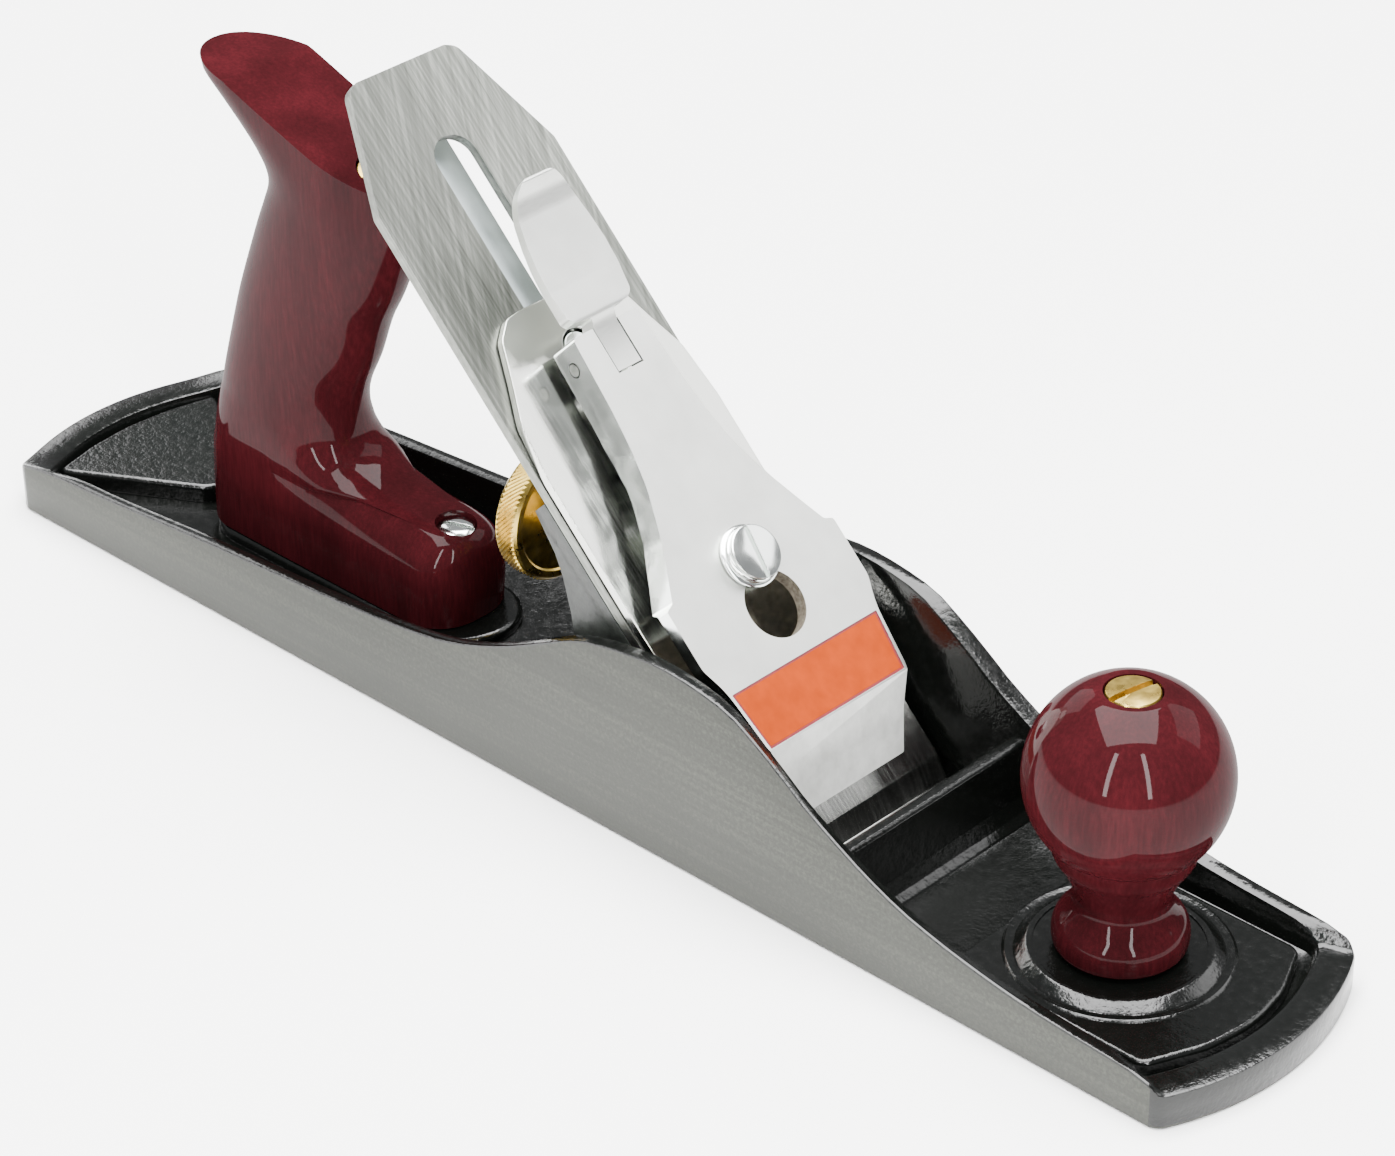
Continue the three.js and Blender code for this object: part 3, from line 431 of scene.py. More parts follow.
def polished_tool_steel():
    """Steel polished on a mop: mirror bright, with a little waviness and faint polishing lines."""
    material, tree, shader = start("polished_tool_steel", Metallic=1.0, Base_Color=linear("#c9cac5"))
    wave = noise(tree, place_of(tree, (45, 45, 45)), 2, 0.5)
    lines = noise(tree, place_of(tree, (60, 1800, 60)), 2, 0.5)
    height = blend(tree, 0.04, wave, lines)
    roughened(tree, shader, lines, (0.3, 0.1), (0.7, 0.2))
    bump(tree, shader, height, 0.12)
    return material


def satin_nickel():
    """Nickel plate over a linished face: pale and softly bright, with a very fine even grain."""
    material, tree, shader = start("satin_nickel_plate", Metallic=1.0)
    grain = noise(tree, place_of(tree, (2200, 2200, 2200)), 3, 0.6)
    smear = noise(tree, place_of(tree, (60, 60, 60)), 3, 0.6)
    tinted(tree, shader, smear, (0.3, "#cbccc8"), (0.65, "#d8d9d5"))
    roughened(tree, shader, grain, (0.3, 0.34), (0.7, 0.46))
    bump(tree, shader, grain, 0.012)
    return material


def bright_nickel():
    """Bright nickel plate on turned and cast fittings: near mirror, with small ripples from the casting."""
    material, tree, shader = start("bright_nickel_plate", Metallic=1.0, Base_Color=linear("#e3e7e4"))
    ripple = noise(tree, place_of(tree, (190, 190, 190)), 2, 0.5)
    roughened(tree, shader, ripple, (0.3, 0.1), (0.7, 0.2))
    bump(tree, shader, ripple, 0.05)
    return material


def worn_lip():
    """The lever cap's lip where the plate is rubbed dull: pale and nearly matt."""
    material, tree, shader = start("dull_plated_lip", Metallic=0.4, Roughness=0.5)
    smear = noise(tree, place_of(tree, (120, 120, 120)), 4, 0.6)
    tinted(tree, shader, smear, (0.3, "#b9bab6"), (0.55, "#d6d7d3"))
    bump(tree, shader, smear, 0.02)
    return material


def zinc_plate():
    """Bright zinc on a pressed lever: pale blue-grey with a soft sheen."""
    material, tree, shader = start("bright_zinc_plate", Metallic=1.0)
    cloud = noise(tree, place_of(tree, (160, 160, 160)), 3, 0.5)
    tinted(tree, shader, cloud, (0.3, "#a9b3b4"), (0.7, "#bcc5c6"))
    roughened(tree, shader, cloud, (0.3, 0.28), (0.7, 0.36))
    return material


def raw_casting():
    """The unplated wall of a cast hole: brownish grey and rough."""
    material, tree, shader = start("raw_cast_wall", Metallic=0.6, Roughness=0.6)
    grit = noise(tree, place_of(tree, (900, 900, 900)), 4, 0.7)
    tinted(tree, shader, grit, (0.3, "#4a4238"), (0.7, "#8a8172"))
    bump(tree, shader, grit, 0.15)
    return material


def mild_steel():
    """Plain pressed and turned steel: mid grey with a dull shine."""
    material, tree, shader = start("plain_mild_steel", Metallic=1.0)
    grain = noise(tree, place_of(tree, (700, 700, 700)), 4, 0.6)
    tinted(tree, shader, grain, (0.3, "#6f716d"), (0.7, "#989a95"))
    roughened(tree, shader, grain, (0.3, 0.3), (0.7, 0.45))
    bump(tree, shader, grain, 0.03)
    return material


def turned_brass():
    """Free-cutting brass from the lathe: yellow, satin, slightly mottled."""
    material, tree, shader = start("turned_brass", Metallic=1.0)
    mottle = noise(tree, place_of(tree, (260, 260, 260)), 4, 0.6)
    tinted(tree, shader, mottle, (0.3, "#ae9148"), (0.6, "#cdb05c"), (0.8, "#dfc678"))
    roughened(tree, shader, mottle, (0.3, 0.24), (0.7, 0.38))
    bump(tree, shader, mottle, 0.02)
    return material


def lacquered_beech():
    """Beech stained ox-blood red under thick clear lacquer: a wet gloss over a faint short grain."""
    lacquer = {"Coat_Weight": 0.13, "Coat_Roughness": 0.03, "Coat_IOR": 1.5}
    material, tree, shader = start("lacquered_beech", Roughness=0.3, IOR=1.5, Specular_IOR_Level=0.0, **lacquer)
    flecks = noise(tree, place_of(tree, (1400, 1400, 150)), 3, 0.6)
    figure = noise(tree, place_of(tree, (90, 90, 16)), 3, 0.55)
    both = blend(tree, 0.55, flecks, figure)
    tinted(tree, shader, both, (0.3, "#1f080a"), (0.5, "#290b0e"), (0.75, "#381014"))
    bump(tree, shader, flecks, 0.005)
    ooze = noise(tree, place_of(tree, (70, 70, 70)), 1, 0.4)
    bump(tree, shader, ooze, 0.06, "Coat Normal")
    return material


def orange_paint():
    """Thick orange paint filled into the label's recess, level and slightly glossy."""
    material, tree, shader = start("orange_filled_paint", Roughness=0.45, IOR=1.5, Specular_IOR_Level=0.06)
    streak = noise(tree, place_of(tree, (300, 300, 300)), 3, 0.5)
    tinted(tree, shader, streak, (0.3, "#7e2c04"), (0.7, "#8a3206"))
    bump(tree, shader, streak, 0.02)
    return material


def red_line_paint():
    """Dark red paint on the label's raised border."""
    material, tree, shader = start("dark_red_paint", Roughness=0.4, IOR=1.5)
    streak = noise(tree, place_of(tree, (500, 500, 500)), 2, 0.5)
    tinted(tree, shader, streak, (0.3, "#56060e"), (0.7, "#680c14"))
    return material


def studio_floor():
    """A pale matt sweep."""
    material, tree, shader = start("pale_sweep", Roughness=0.9, Specular_IOR_Level=0.1)
    cloud = noise(tree, place_of(tree, (1.5, 1.5, 1.5)), 2, 0.5)
    tinted(tree, shader, cloud, (0.2, "#f4f4f3"), (0.8, "#f8f8f7"))
    return material


IRON = surface_ground_iron()
ENAMEL = casting_enamel()
FROG_GREY = frog_enamel()
STEEL = ground_tool_steel()
POLISHED = polished_tool_steel()
SATIN = satin_nickel()
BRIGHT = bright_nickel()
RAW = raw_casting()
LIP = worn_lip()
ZINC = zinc_plate()
MILD = mild_steel()
BRASS = turned_brass()
WOOD = lacquered_beech()
ORANGE = orange_paint()
RED_LINE = red_line_paint()


# ---- Camera, floor and light ----
def camera():
    """A long lens above the toe's right-hand side."""
    azimuth, elevation, roll = math.radians(43.80), math.radians(32.03), math.radians(-0.569)
    place = Vector((551.05, -553.47, 525.99)) * MM
    level = math.cos(elevation)
    back = Vector((math.sin(azimuth) * level, -math.cos(azimuth) * level, math.sin(elevation)))
    right = (-back).cross(Vector((0, 0, 1))).normalized()
    up = right.cross(-back)
    tilted_right = math.cos(roll) * right + math.sin(roll) * up
    tilted_up = -math.sin(roll) * right + math.cos(roll) * up
    data = bpy.data.cameras.new("camera")
    data.sensor_width = 36
    data.lens = 111.69
    data.clip_start = 0.05
    data.clip_end = 20
    made = bpy.data.objects.new("camera", data)
    turn = Matrix((tilted_right, tilted_up, back)).transposed().to_4x4()
    made.matrix_world = Matrix.Translation(place) @ turn
    bpy.context.scene.collection.objects.link(made)
    bpy.context.scene.camera = made


def sweep():
    """The floor, far larger than the view."""
    bm = prism(arc(0, 0, 4000, 0, 360 * 63 / 64, 63), -1.2, -0.05)
    made = piece("floor", bm, studio_floor(), None)


def softbox(name, place, target, size, power):
    """A white rectangular light, turned to its target."""
    data = bpy.data.lights.new(name, "AREA")
    data.shape = "RECTANGLE"
    data.size, data.size_y = size
    data.energy = power
    made = bpy.data.objects.new(name, data)
    aim = (Vector(place) - Vector(target)).to_track_quat("Z", "Y")
    made.matrix_world = Matrix.Translation(Vector(place)) @ aim.to_matrix().to_4x4()
    bpy.context.scene.collection.objects.link(made)


def studio():
    world = bpy.data.worlds.new("studio")
    bpy.context.scene.world = world
    world.use_nodes = True
    tree = world.node_tree
    tree.nodes.clear()
    background = add(tree, "Background", values={"Color": linear("#fbfcff"), "Strength": 0.42})
    add(tree, "OutputWorld", links={"Surface": background.outputs["Background"]})
    middle = (0, 0, 0.04)
    softbox("overhead", (-0.1, 0.1, 2.2), middle, (2.2, 2.2), 375)
    softbox("far_window", (0.75, 1.5, 1.2), middle, (1.3, 0.9), 17)
    softbox("left_window", (-1.7, 0.5, 0.9), middle, (0.9, 0.9), 14)
    softbox("strip_left", (0.42, -1.25, 0.85), (0.13, 0, 0.05), (0.12, 1.3), 26)
    softbox("strip_right", (1.22, -0.62, 0.85), (0.13, 0, 0.05), (0.12, 1.3), 26)


camera()
sweep()
studio()


# ---- Body casting ----
CHEEK = 3.5
CHEEK_STEPS = 72
TOE_RIM, HEEL_RIM = 7.6, 7.8
TOE_BULGE, HEEL_BULGE = 8.24, 8.59
FLOOR_Z = 4.8
TOE_RIM_TOP, HEEL_RIM_TOP = 8.1, 10.4
PEAK_X = 38.6

# The cheek's top edge as (share of the way from the peak to the end, height).
TOP_TO_TOE = [
    (0, PEAK_Z), (0.05, 47.6), (0.1, 46.6), (0.149, 44.9), (0.198, 41.1), (0.246, 36.8), (0.295, 32),
    (0.343, 28.2),
    (0.391, 24.6), (0.438, 21.6), (0.486, 19.1), (0.532, 17.4), (0.579, 15.9), (0.671, 13.7), (0.761, 12.5),
    (0.85, 11.8), (0.9, 11.2), (0.925, 10.2), (0.942, TOE_RIM_TOP + 0.2), (0.955, TOE_RIM_TOP),
    (1, TOE_RIM_TOP),
]
TOP_TO_HEEL = [
    (0, PEAK_Z), (0.032, 47.3), (0.066, 46.1), (0.099, 44.4), (0.133, 41), (0.168, 37), (0.203, 33.2),
    (0.239, 29.9),
    (0.274, 27.2), (0.311, 25.2), (0.36, 23.6), (0.421, 22.2), (0.5, 20.8), (0.597, 19.3), (0.68, 18),
    (0.769, 16.3),
    (0.84, 15), (0.9, 14.2), (0.944, 12.6), (0.965, 11.2), (0.98, HEEL_RIM_TOP), (1, HEEL_RIM_TOP),
]
TOP_LINE = [
    *[(PEAK_X + s * (TOE - PEAK_X), z) for s, z in TOP_TO_TOE],
    *[(PEAK_X + s * (HEEL - PEAK_X), z) for s, z in TOP_TO_HEEL[1:]],
]
TOP_LINE = curve_through(sorted(TOP_LINE), 4)


def casting_end(sign, end, bulge, inset, half, corner):
    """The casting's bowed toe (sign 1) or heel (sign -1) with its two corners, in plan."""
    radius = (HALF_WIDTH ** 2 + bulge ** 2) / (2 * bulge)
    centre = end - sign * radius
    reach = radius - inset
    spread = math.asin(half / reach)
    corner_x = centre + sign * reach * math.cos(spread)
    bow = spread - corner / reach
    first = Vector((corner_x - sign * corner, -sign * half))
    last = Vector((centre + sign * reach * math.cos(bow), -sign * reach * math.sin(bow)))
    bends = quadratic(first, Vector((corner_x, -sign * half)), last, 6)
    angles = [-bow + 2 * bow * k / 28 for k in range(1, 28)]
    bowed = [(centre + sign * reach * math.cos(a), sign * reach * math.sin(a)) for a in angles]
    return [*bends, *bowed, *[(x, -y) for x, y in reversed(bends)]]


def between(first, last, steps):
    """The points that part a straight line into equal steps, without its ends."""
    (x0, y0), (x1, y1) = first, last
    return [(x0 + (x1 - x0) * k / steps, y0 + (y1 - y0) * k / steps) for k in range(1, steps)]


def casting_loop(cheek, toe, heel, corner):
    """The casting's plan, moved in from the outside by cheek, toe and heel, its corners rounded."""
    half = HALF_WIDTH - cheek
    toe_end = casting_end(1, TOE, TOE_BULGE, toe, half, corner)
    heel_end = casting_end(-1, HEEL, HEEL_BULGE, heel, half, corner)
    left = between(toe_end[-1], heel_end[0], CHEEK_STEPS)
    right = between(heel_end[-1], toe_end[0], CHEEK_STEPS)
    return [*toe_end, *left, *heel_end, *right]


def casting_shell():
    """Sole, cheeks and rims as one skin, from the sole over the rim and down to the floor inside."""
    edge = 0.55
    # (share of the wall, extra millimetres inwards, what the height is from, height, corner radius)
    steps = [
        (0, 0.8, "sole", 0, 2.2), (0, 0.25, "sole", 0.25, 2.4), (0, 0, "sole", 0.8, 2.5),
        (0, 0, "top", -edge, 2.5), (0, 0.16, "top", -0.16, 2.4), (0, edge, "top", 0, 2.2),
        (1, -1.1, "top", 0, 2), (1, -0.35, "top", -0.3, 2), (1, 0, "top", -1.1, 2),
        (1, 0.2, "floor", 2.2, 2.2), (1, 0.8, "floor", 0.7, 2.4), (1, 2.2, "floor", 0, 2.8),
    ]
    outer = casting_loop(0, 0, 0, 2.5)
    rings = []
    for share, extra, base, rise, corner in steps:
        loop = casting_loop(share * CHEEK + extra, share * TOE_RIM + extra, share * HEEL_RIM + extra, corner)
        ring = []
        for (x, y), (outer_x, _) in zip(loop, outer):
            top = height_at(TOP_LINE, outer_x)
            z = {"sole": rise, "top": top + rise, "floor": FLOOR_Z + rise}[base]
            ring.append((x, y, z))
        rings.append(ring)
    bm = lofted(rings)
    for face in bm.faces:
        centre = face.calc_center_median()
        cheek = abs(centre.y) > HALF_WIDTH - 0.06 and abs(face.normal.y) > 0.8
        sole = centre.z < 0.7
        face.material_index = 1 if cheek or sole else 0
    made = piece("casting_shell", bm, ENAMEL, "body", sharp=40)
    made.data.materials.append(IRON)
    mouth_rear = BED_X - 6.3
    mouth = [
        (mouth_rear + 1, -1), (mouth_rear + 8.2, -1), (mouth_rear + 8.2, 0.8), (mouth_rear + 13.5, FLOOR_Z + 3),
        (mouth_rear - FLOOR_Z - 3, FLOOR_Z + 3),
    ]
    cut(made, side_prism(mouth, HALF_IRON + 2.8))
    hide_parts("body_casting")


def on_casting(name, bm, place=WORLD):
    return piece(name, bm, ENAMEL, "body", place)


def casting_features():
    """The rib, boss, pads and plateaus that stand on the casting's floor."""
    foot = 88.8
    rib = [
        (foot - 10.2, FLOOR_Z - 0.6), (foot - 8.6, FLOOR_Z + 3), (foot - 6.6, 15), (foot - 5.7, 21),
        (foot - 5.0, 21.8),
        (foot - 2.8, 21.8), (foot - 2.2, 21), (foot - 1, 9.4), (foot + 0.4, 6.4), (foot + 3, FLOOR_Z - 0.6),
    ]
    on_casting("casting_rib", side_prism(filleted(rib, 0.9, 4), HALF_WIDTH - CHEEK + 0.6))
    boss = [
        (0, 3), (23.6, 3), (23.4, 8), (21.4, 8.05), (20.9, 8.35), (18.9, 9.7), (18.2, 9.9), (17.4, 9.85),
        (16.9, 9.55),
        (0, 9.5),
    ]
    on_casting("knob_boss", turned(curve_through(boss, 3), 96), Matrix.Translation((KNOB_X, 0, 0)))
    back, front = KNOB_X - 23, TOE - TOE_RIM - 1.4
    toe_plate = [
        (back, -25.2), (front - 8, -25.2), (front - 2, -12), (front, 0), (front - 2, 12),
        (front - 8, 25.2), (back, 25.2),
    ]
    toe_outline = filleted(toe_plate, [3, 4, 20, 60, 20, 4, 3])
    soften(on_casting("toe_plateau", prism(toe_outline, 4, 7.95)), 1.2, 4)
    pad = [*arc(-52.9, 0, 13.6, -90, 90, 24), *arc(-114.4, 0, 13.6, 90, 270, 24)]
    soften(on_casting("tote_pad", prism(pad, 4, 7.5)), 1.4, 4)
    heel_plate = [
        (HEEL + 13.4, -24.6), (HEEL + 45, -6.2), (HEEL + 49, 0), (HEEL + 45, 6.2), (HEEL + 13.4, 24.6),
        (HEEL + 10.4, 12), (HEEL + 9.2, 0), (HEEL + 10.4, -12),
    ]
    heel_outline = filleted(heel_plate, [2, 8, 5, 8, 2, 20, 40, 20])
    soften(on_casting("heel_plateau", prism(heel_outline, 4, 9.3)), 1.3, 4)
    seat = [(14, 4), (60.5, 4), (57.2, 9.7), (14, 9.7)]
    soften(on_casting("frog_seat", side_prism(seat, HALF_IRON - 3)), 0.5, 2)
    adjusting = [(18, 5), (30, 5), (30, 19), (18, 19)]
    adjusting_boss = on_casting("adjusting_boss", side_prism(adjusting, 5))
    cut(adjusting_boss, rod(2.9, -1, 20, 24), axis_frame(12, 0, 14, (1, 0, 0)))
    soften(adjusting_boss, 0.8, 3)


casting_shell()
casting_features()


# ---- Tote ----
TOTE_HALF = box_mm("tote")[1].y - 0.05
REAR_EDGE = [
    (7.8, -128.7), (20, -128.4), (30, -127.5), (39, -126), (55, -121.6), (70, -116.9), (86, -110.6), (94, -107),
    (99, -105), (103, -105.3), (108, -108.6), (113, -113.6), (118, -119.4), (121.5, -123.6),
    (123.4, -124.5), (130, -126),
]
FRONT_EDGE = [
    (7.8, -46.2), (16, -45.4), (23, -45.8), (26.6, -47), (28.9, -49.4), (30, -53.5), (30.1, -60), (30.3, -66),
    (30.9, -71), (32, -75.6), (34.5, -81), (37, -83.4), (40, -84.8), (46, -85.2), (52, -83.4), (60, -79.2),
    (70.5, -74.9), (79, -70.1), (88, -66.2), (96, -63.4), (101, -62.6), (106, -62.5), (130, -62.6),
]
ROD_TOP = Vector((-71.5, 0, 110.6))
ROD_LEAN = Vector((math.sin(0.328), 0, math.cos(0.328)))
SCREW_X = -53.5


def tote_section(z, rear, front):
    """A level slice of the tote: a long bar at the foot and an oval in the grip."""
    grip = min(max((z - 28) / 20, 0), 1)
    foot = 1 - grip
    half = TOTE_HALF - 0.9 * math.sin(math.pi * min(max((z - 40) / 90, 0), 1))
    length = (front - rear) / 2
    end = min(length, 13 + 9 * grip)
    ring = []
    for c, s in circle(1, 72):
        power = 2.15 + 0.35 * foot if c > 0 else 2.1
        cx = math.copysign(abs(c) ** (2 / power), c)
        sy = math.copysign(abs(s) ** (2 / power), s)
        middle = (front + rear) / 2
        x = middle + cx * end + math.copysign(length - end, c) * min(1, abs(c) * 6)
        on_foot = min(max((x + 88) / 20, 0), 1) * min(max((46 - z) / 15, 0), 1)
        crown = min(half, TOTE_HALF * math.sqrt(max(1 - (max(z - 18, 0) / 13.5) ** 2, 0.26)))
        ring.append((x, sy * (half + (crown - half) * on_foot ** 2 * (3 - 2 * on_foot)), z))
    return ring


def tote():
    """The handle, built up in level slices and trimmed by the flat leaf across its top."""
    rear_line = curve_through(REAR_EDGE, 6)
    front_line = curve_through(FRONT_EDGE, 6)
    levels = [7.8 + 0.9 * k for k in range(132)]
    rings = [tote_section(z, height_at(rear_line, z), height_at(front_line, z)) for z in levels]
    bm = lofted(rings)
    for x, z, slope in ((-60, 106.2, 19.9), (-108, 123.6, 3.4)):
        angle = math.radians(slope)
        bmesh.ops.bisect_plane(
            bm, geom=[*bm.verts, *bm.edges, *bm.faces], plane_co=(x, 0, z),
            plane_no=(math.sin(angle), 0, math.cos(angle)), clear_outer=True,
        )
        bmesh.ops.holes_fill(bm, edges=[e for e in bm.edges if e.is_boundary])
    made = piece("tote_fine", bm, WOOD, "body", sharp=40)
    cut(made, rod(5.9, -8, 12, 48), axis_frame(*ROD_TOP, ROD_LEAN))
    cut(made, rod(4.7, 25.6, 60, 48), Matrix.Translation((SCREW_X, 0, 0)))
    soften(made, 0.7, 3, 38)
    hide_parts("tote")


tote()


# ---- Knob ----
def knob():
    """A ball on a waisted neck and a flared foot."""
    base = KNOB_LOW.z
    top = KNOB_HIGH.z
    neck = [
        (12.2, base), (13.3, base + 0.7), (13.7, base + 2.2), (13.7, base + 4.4), (12.9, base + 6.6),
        (11.2, base + 8.6),
        (9.9, base + 10.6), (9.7, base + 12.4), (10.6, base + 15.4), (12.2, base + 18.8), (14.2, base + 22),
    ]
    radius = KNOB_HIGH.x - KNOB_X
    centre = 50
    first = math.asin((base + 25.2 - centre) / radius)
    last = math.asin((top - centre) / radius)
    angles = [first + (last - first) * k / 44 for k in range(45)]
    ball = [(radius * math.cos(a), centre + radius * math.sin(a)) for a in angles]
    profile = [(0, base), *curve_through([*neck, ball[0]], 6)[:-1], *ball]
    hole = 5.9
    while profile[-1][0] < hole:
        profile.pop()
    rim = profile[-1][1]
    profile += [(hole, rim - 0.15), (hole, rim - 6), (0, rim - 6)]
    made = piece("knob_fine", turned(profile, 128), WOOD, "body", Matrix.Translation((KNOB_X, 0, 0)))
    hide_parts("knob")


knob()


# ---- Screws and nuts ----
def domed_nut(name, node, place):
    """A round brass nut, its top slightly crowned and slotted across."""
    profile = [(0, -7), (5.55, -7), (5.55, -0.7), (5.3, -0.3), (4, -0.1), (2, 0), (0, 0)]
    made = piece(name, turned(profile, 64), BRASS, "body", place)
    cut(made, block(-8, 8, 0.75, -1.5, 2), place)
    soften(made, 0.12, 2)
    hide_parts(node)


domed_nut("tote_nut_fine", "tote_rod_nut", axis_frame(*(ROD_TOP - 0.7 * ROD_LEAN), ROD_LEAN))
knob_nut_top = Matrix.Translation((KNOB_X, 0, box_mm("knob_nut")[1].z))
domed_nut("knob_nut_fine", "knob_nut", knob_nut_top @ Matrix.Rotation(math.radians(78), 4, "Z"))


def toe_screw():
    """The tote's toe screw: an oval nickel head with a deep slot."""
    top = box_mm("tote_toe_screw")[1].z
    profile = [(0, -27), (2.6, -27), (2.6, -2.6), (4.3, -1.3), (4.28, -0.9), (3.6, -0.35), (2.2, -0.05), (0, 0)]
    place = Matrix.Translation((SCREW_X, 0, top)) @ Matrix.Rotation(math.radians(24), 4, "Z")
    made = piece("tote_toe_screw_fine", turned(profile, 48), BRIGHT, "body", place)
    cut(made, block(-6, 6, 0.65, -1.6, 2), place)
    soften(made, 0.1, 2)
    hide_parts("tote_toe_screw")


toe_screw()


CAP_SCREW_S = 67.6


def lever_cap_screw():
    """A stepped round head on a collar."""
    face = 17.3
    profile = [
        (0, -11), (3.2, -11), (3.6, -10.4), (3.6, 13.75), (6.7, 13.8), (7, 14.05), (7, 14.5), (6.75, 14.75),
        (6.2, 14.9), (6.1, 15.1), (6.1, 15.55), (5.8, 15.7), (5.65, 15.9), (5.65, 16.1), (5.85, 16.25),
        (6.1, 16.4),
        (6.1, 16.85), (5.95, 17.15), (5.6, face), (0, face + 0.05),
    ]
    place = BED @ Matrix.Translation((CAP_SCREW_S, 0, 0)) @ Matrix.Rotation(math.radians(-8), 4, "Z")
    made = piece("lever_cap_screw_fine", turned(profile, 72), BRIGHT, "frog_body", place, sharp=28)
    cut(made, block(-9, 9, 0.55, face - 1.5, face + 2), place)
    soften(made, 0.1, 2)
    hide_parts("lever_cap_screw")


lever_cap_screw()


# ---- Iron and cap iron ----
def plane_iron():
    """The cutter: a flat plate with shoulders, a long slot with a round end, and a bevel."""
    top, shoulder, thick = 194.2, 166.6, 2.4
    outline = mirrored([(4.4, HALF_IRON), (shoulder, HALF_IRON), (top - 1.2, 15.4), (top, 12.6)])
    radii = [0.3, 2.5, 5, 1, 1, 5, 2.5, 0.3]
    plate = prism(filleted(outline, radii, 8), -thick, 0)
    made = piece("plane_iron_fine", plate, STEEL, "double_iron", BED)
    half_slot = 5.55
    slot = [*arc(176.3 - half_slot, 0, half_slot, -90, 90, 24), *arc(38, 0, 9, 38.1, 321.9, 40)]
    cut(made, prism(slot, -4, 2), BED)
    bevel = [(3, 0.001), (4.5, -0.05), (9.6, -2.5), (3, -2.5)]
    cut(made, side_prism(bevel, 40), BED)
    soften(made, 0.25, 2)
    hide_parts("plane_iron")


def cap_iron():
    """A thin plate with a hump down to its nose, and polished."""
    half = box_mm("cap_iron")[1].y
    outline = [
        (6.6, half), (101.5, half), (114.4, half - 1.4), (123, half - 5), (132, half - 8.4),
        (135.6, half - 12.4),
        (136.1, half - 16),
    ]
    radii = [0.4, 12, 10, 5, 4, 3, 0.5]
    shape = filleted(mirrored(outline), [*radii, *reversed(radii)], 6)
    made = piece("cap_iron_fine", prism(shape, 0.3, 2.4), POLISHED, "double_iron", BED)
    nose = [(6, 0.9), (7.1, 0.85), (12, 2.35), (14, 2.8), (14, 5), (6, 5)]
    cut(made, side_prism(nose, 40), BED)
    screw_slot = [*arc(72.1, 0, 5.1, -90, 90, 16), *arc(66.5, 0, 5.1, 90, 270, 16)]
    cut(made, prism(screw_slot, -2, 5), BED)
    yoke_slot = block(84.6, 91.4, 3.5, -2, 5)
    cut(made, yoke_slot, BED)
    fixing_hole = rod(3.9, -1, 5)
    cut(made, fixing_hole, BED @ Matrix.Translation((124, 0, 0)))
    soften(made, 0.3, 3)
    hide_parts("cap_iron")


plane_iron()
cap_iron()


# ---- Lever cap ----
CAP_FACE = 13.5
CAP_HALF = box_mm("lever_cap")[1].y
NECK_HALF = 9.4
CAP_SHAPE = [
    (16.5, CAP_HALF - 9), (24.5, CAP_HALF - 7), (31.5, CAP_HALF - 3.9), (46, CAP_HALF - 2.3), (52, CAP_HALF),
    (66, CAP_HALF), (66.8, CAP_HALF - 2.2), (72.3, 20.2), (80, 16.6), (90, 13), (99, 11.3), (107, 10.4),
    (124.3, NECK_HALF),
]
CAP_RADII = [0.5, 18, 8, 25, 6, 1, 1.5, 22, 30, 30, 30, 30, 1.2]
LIP_END, KEYHOLE_S = 31, 56.5
PIN_LINE = BED @ axis_frame(118.8, 0, 8.9, (0, 1, 0))
PIN_HOLE = 1.7


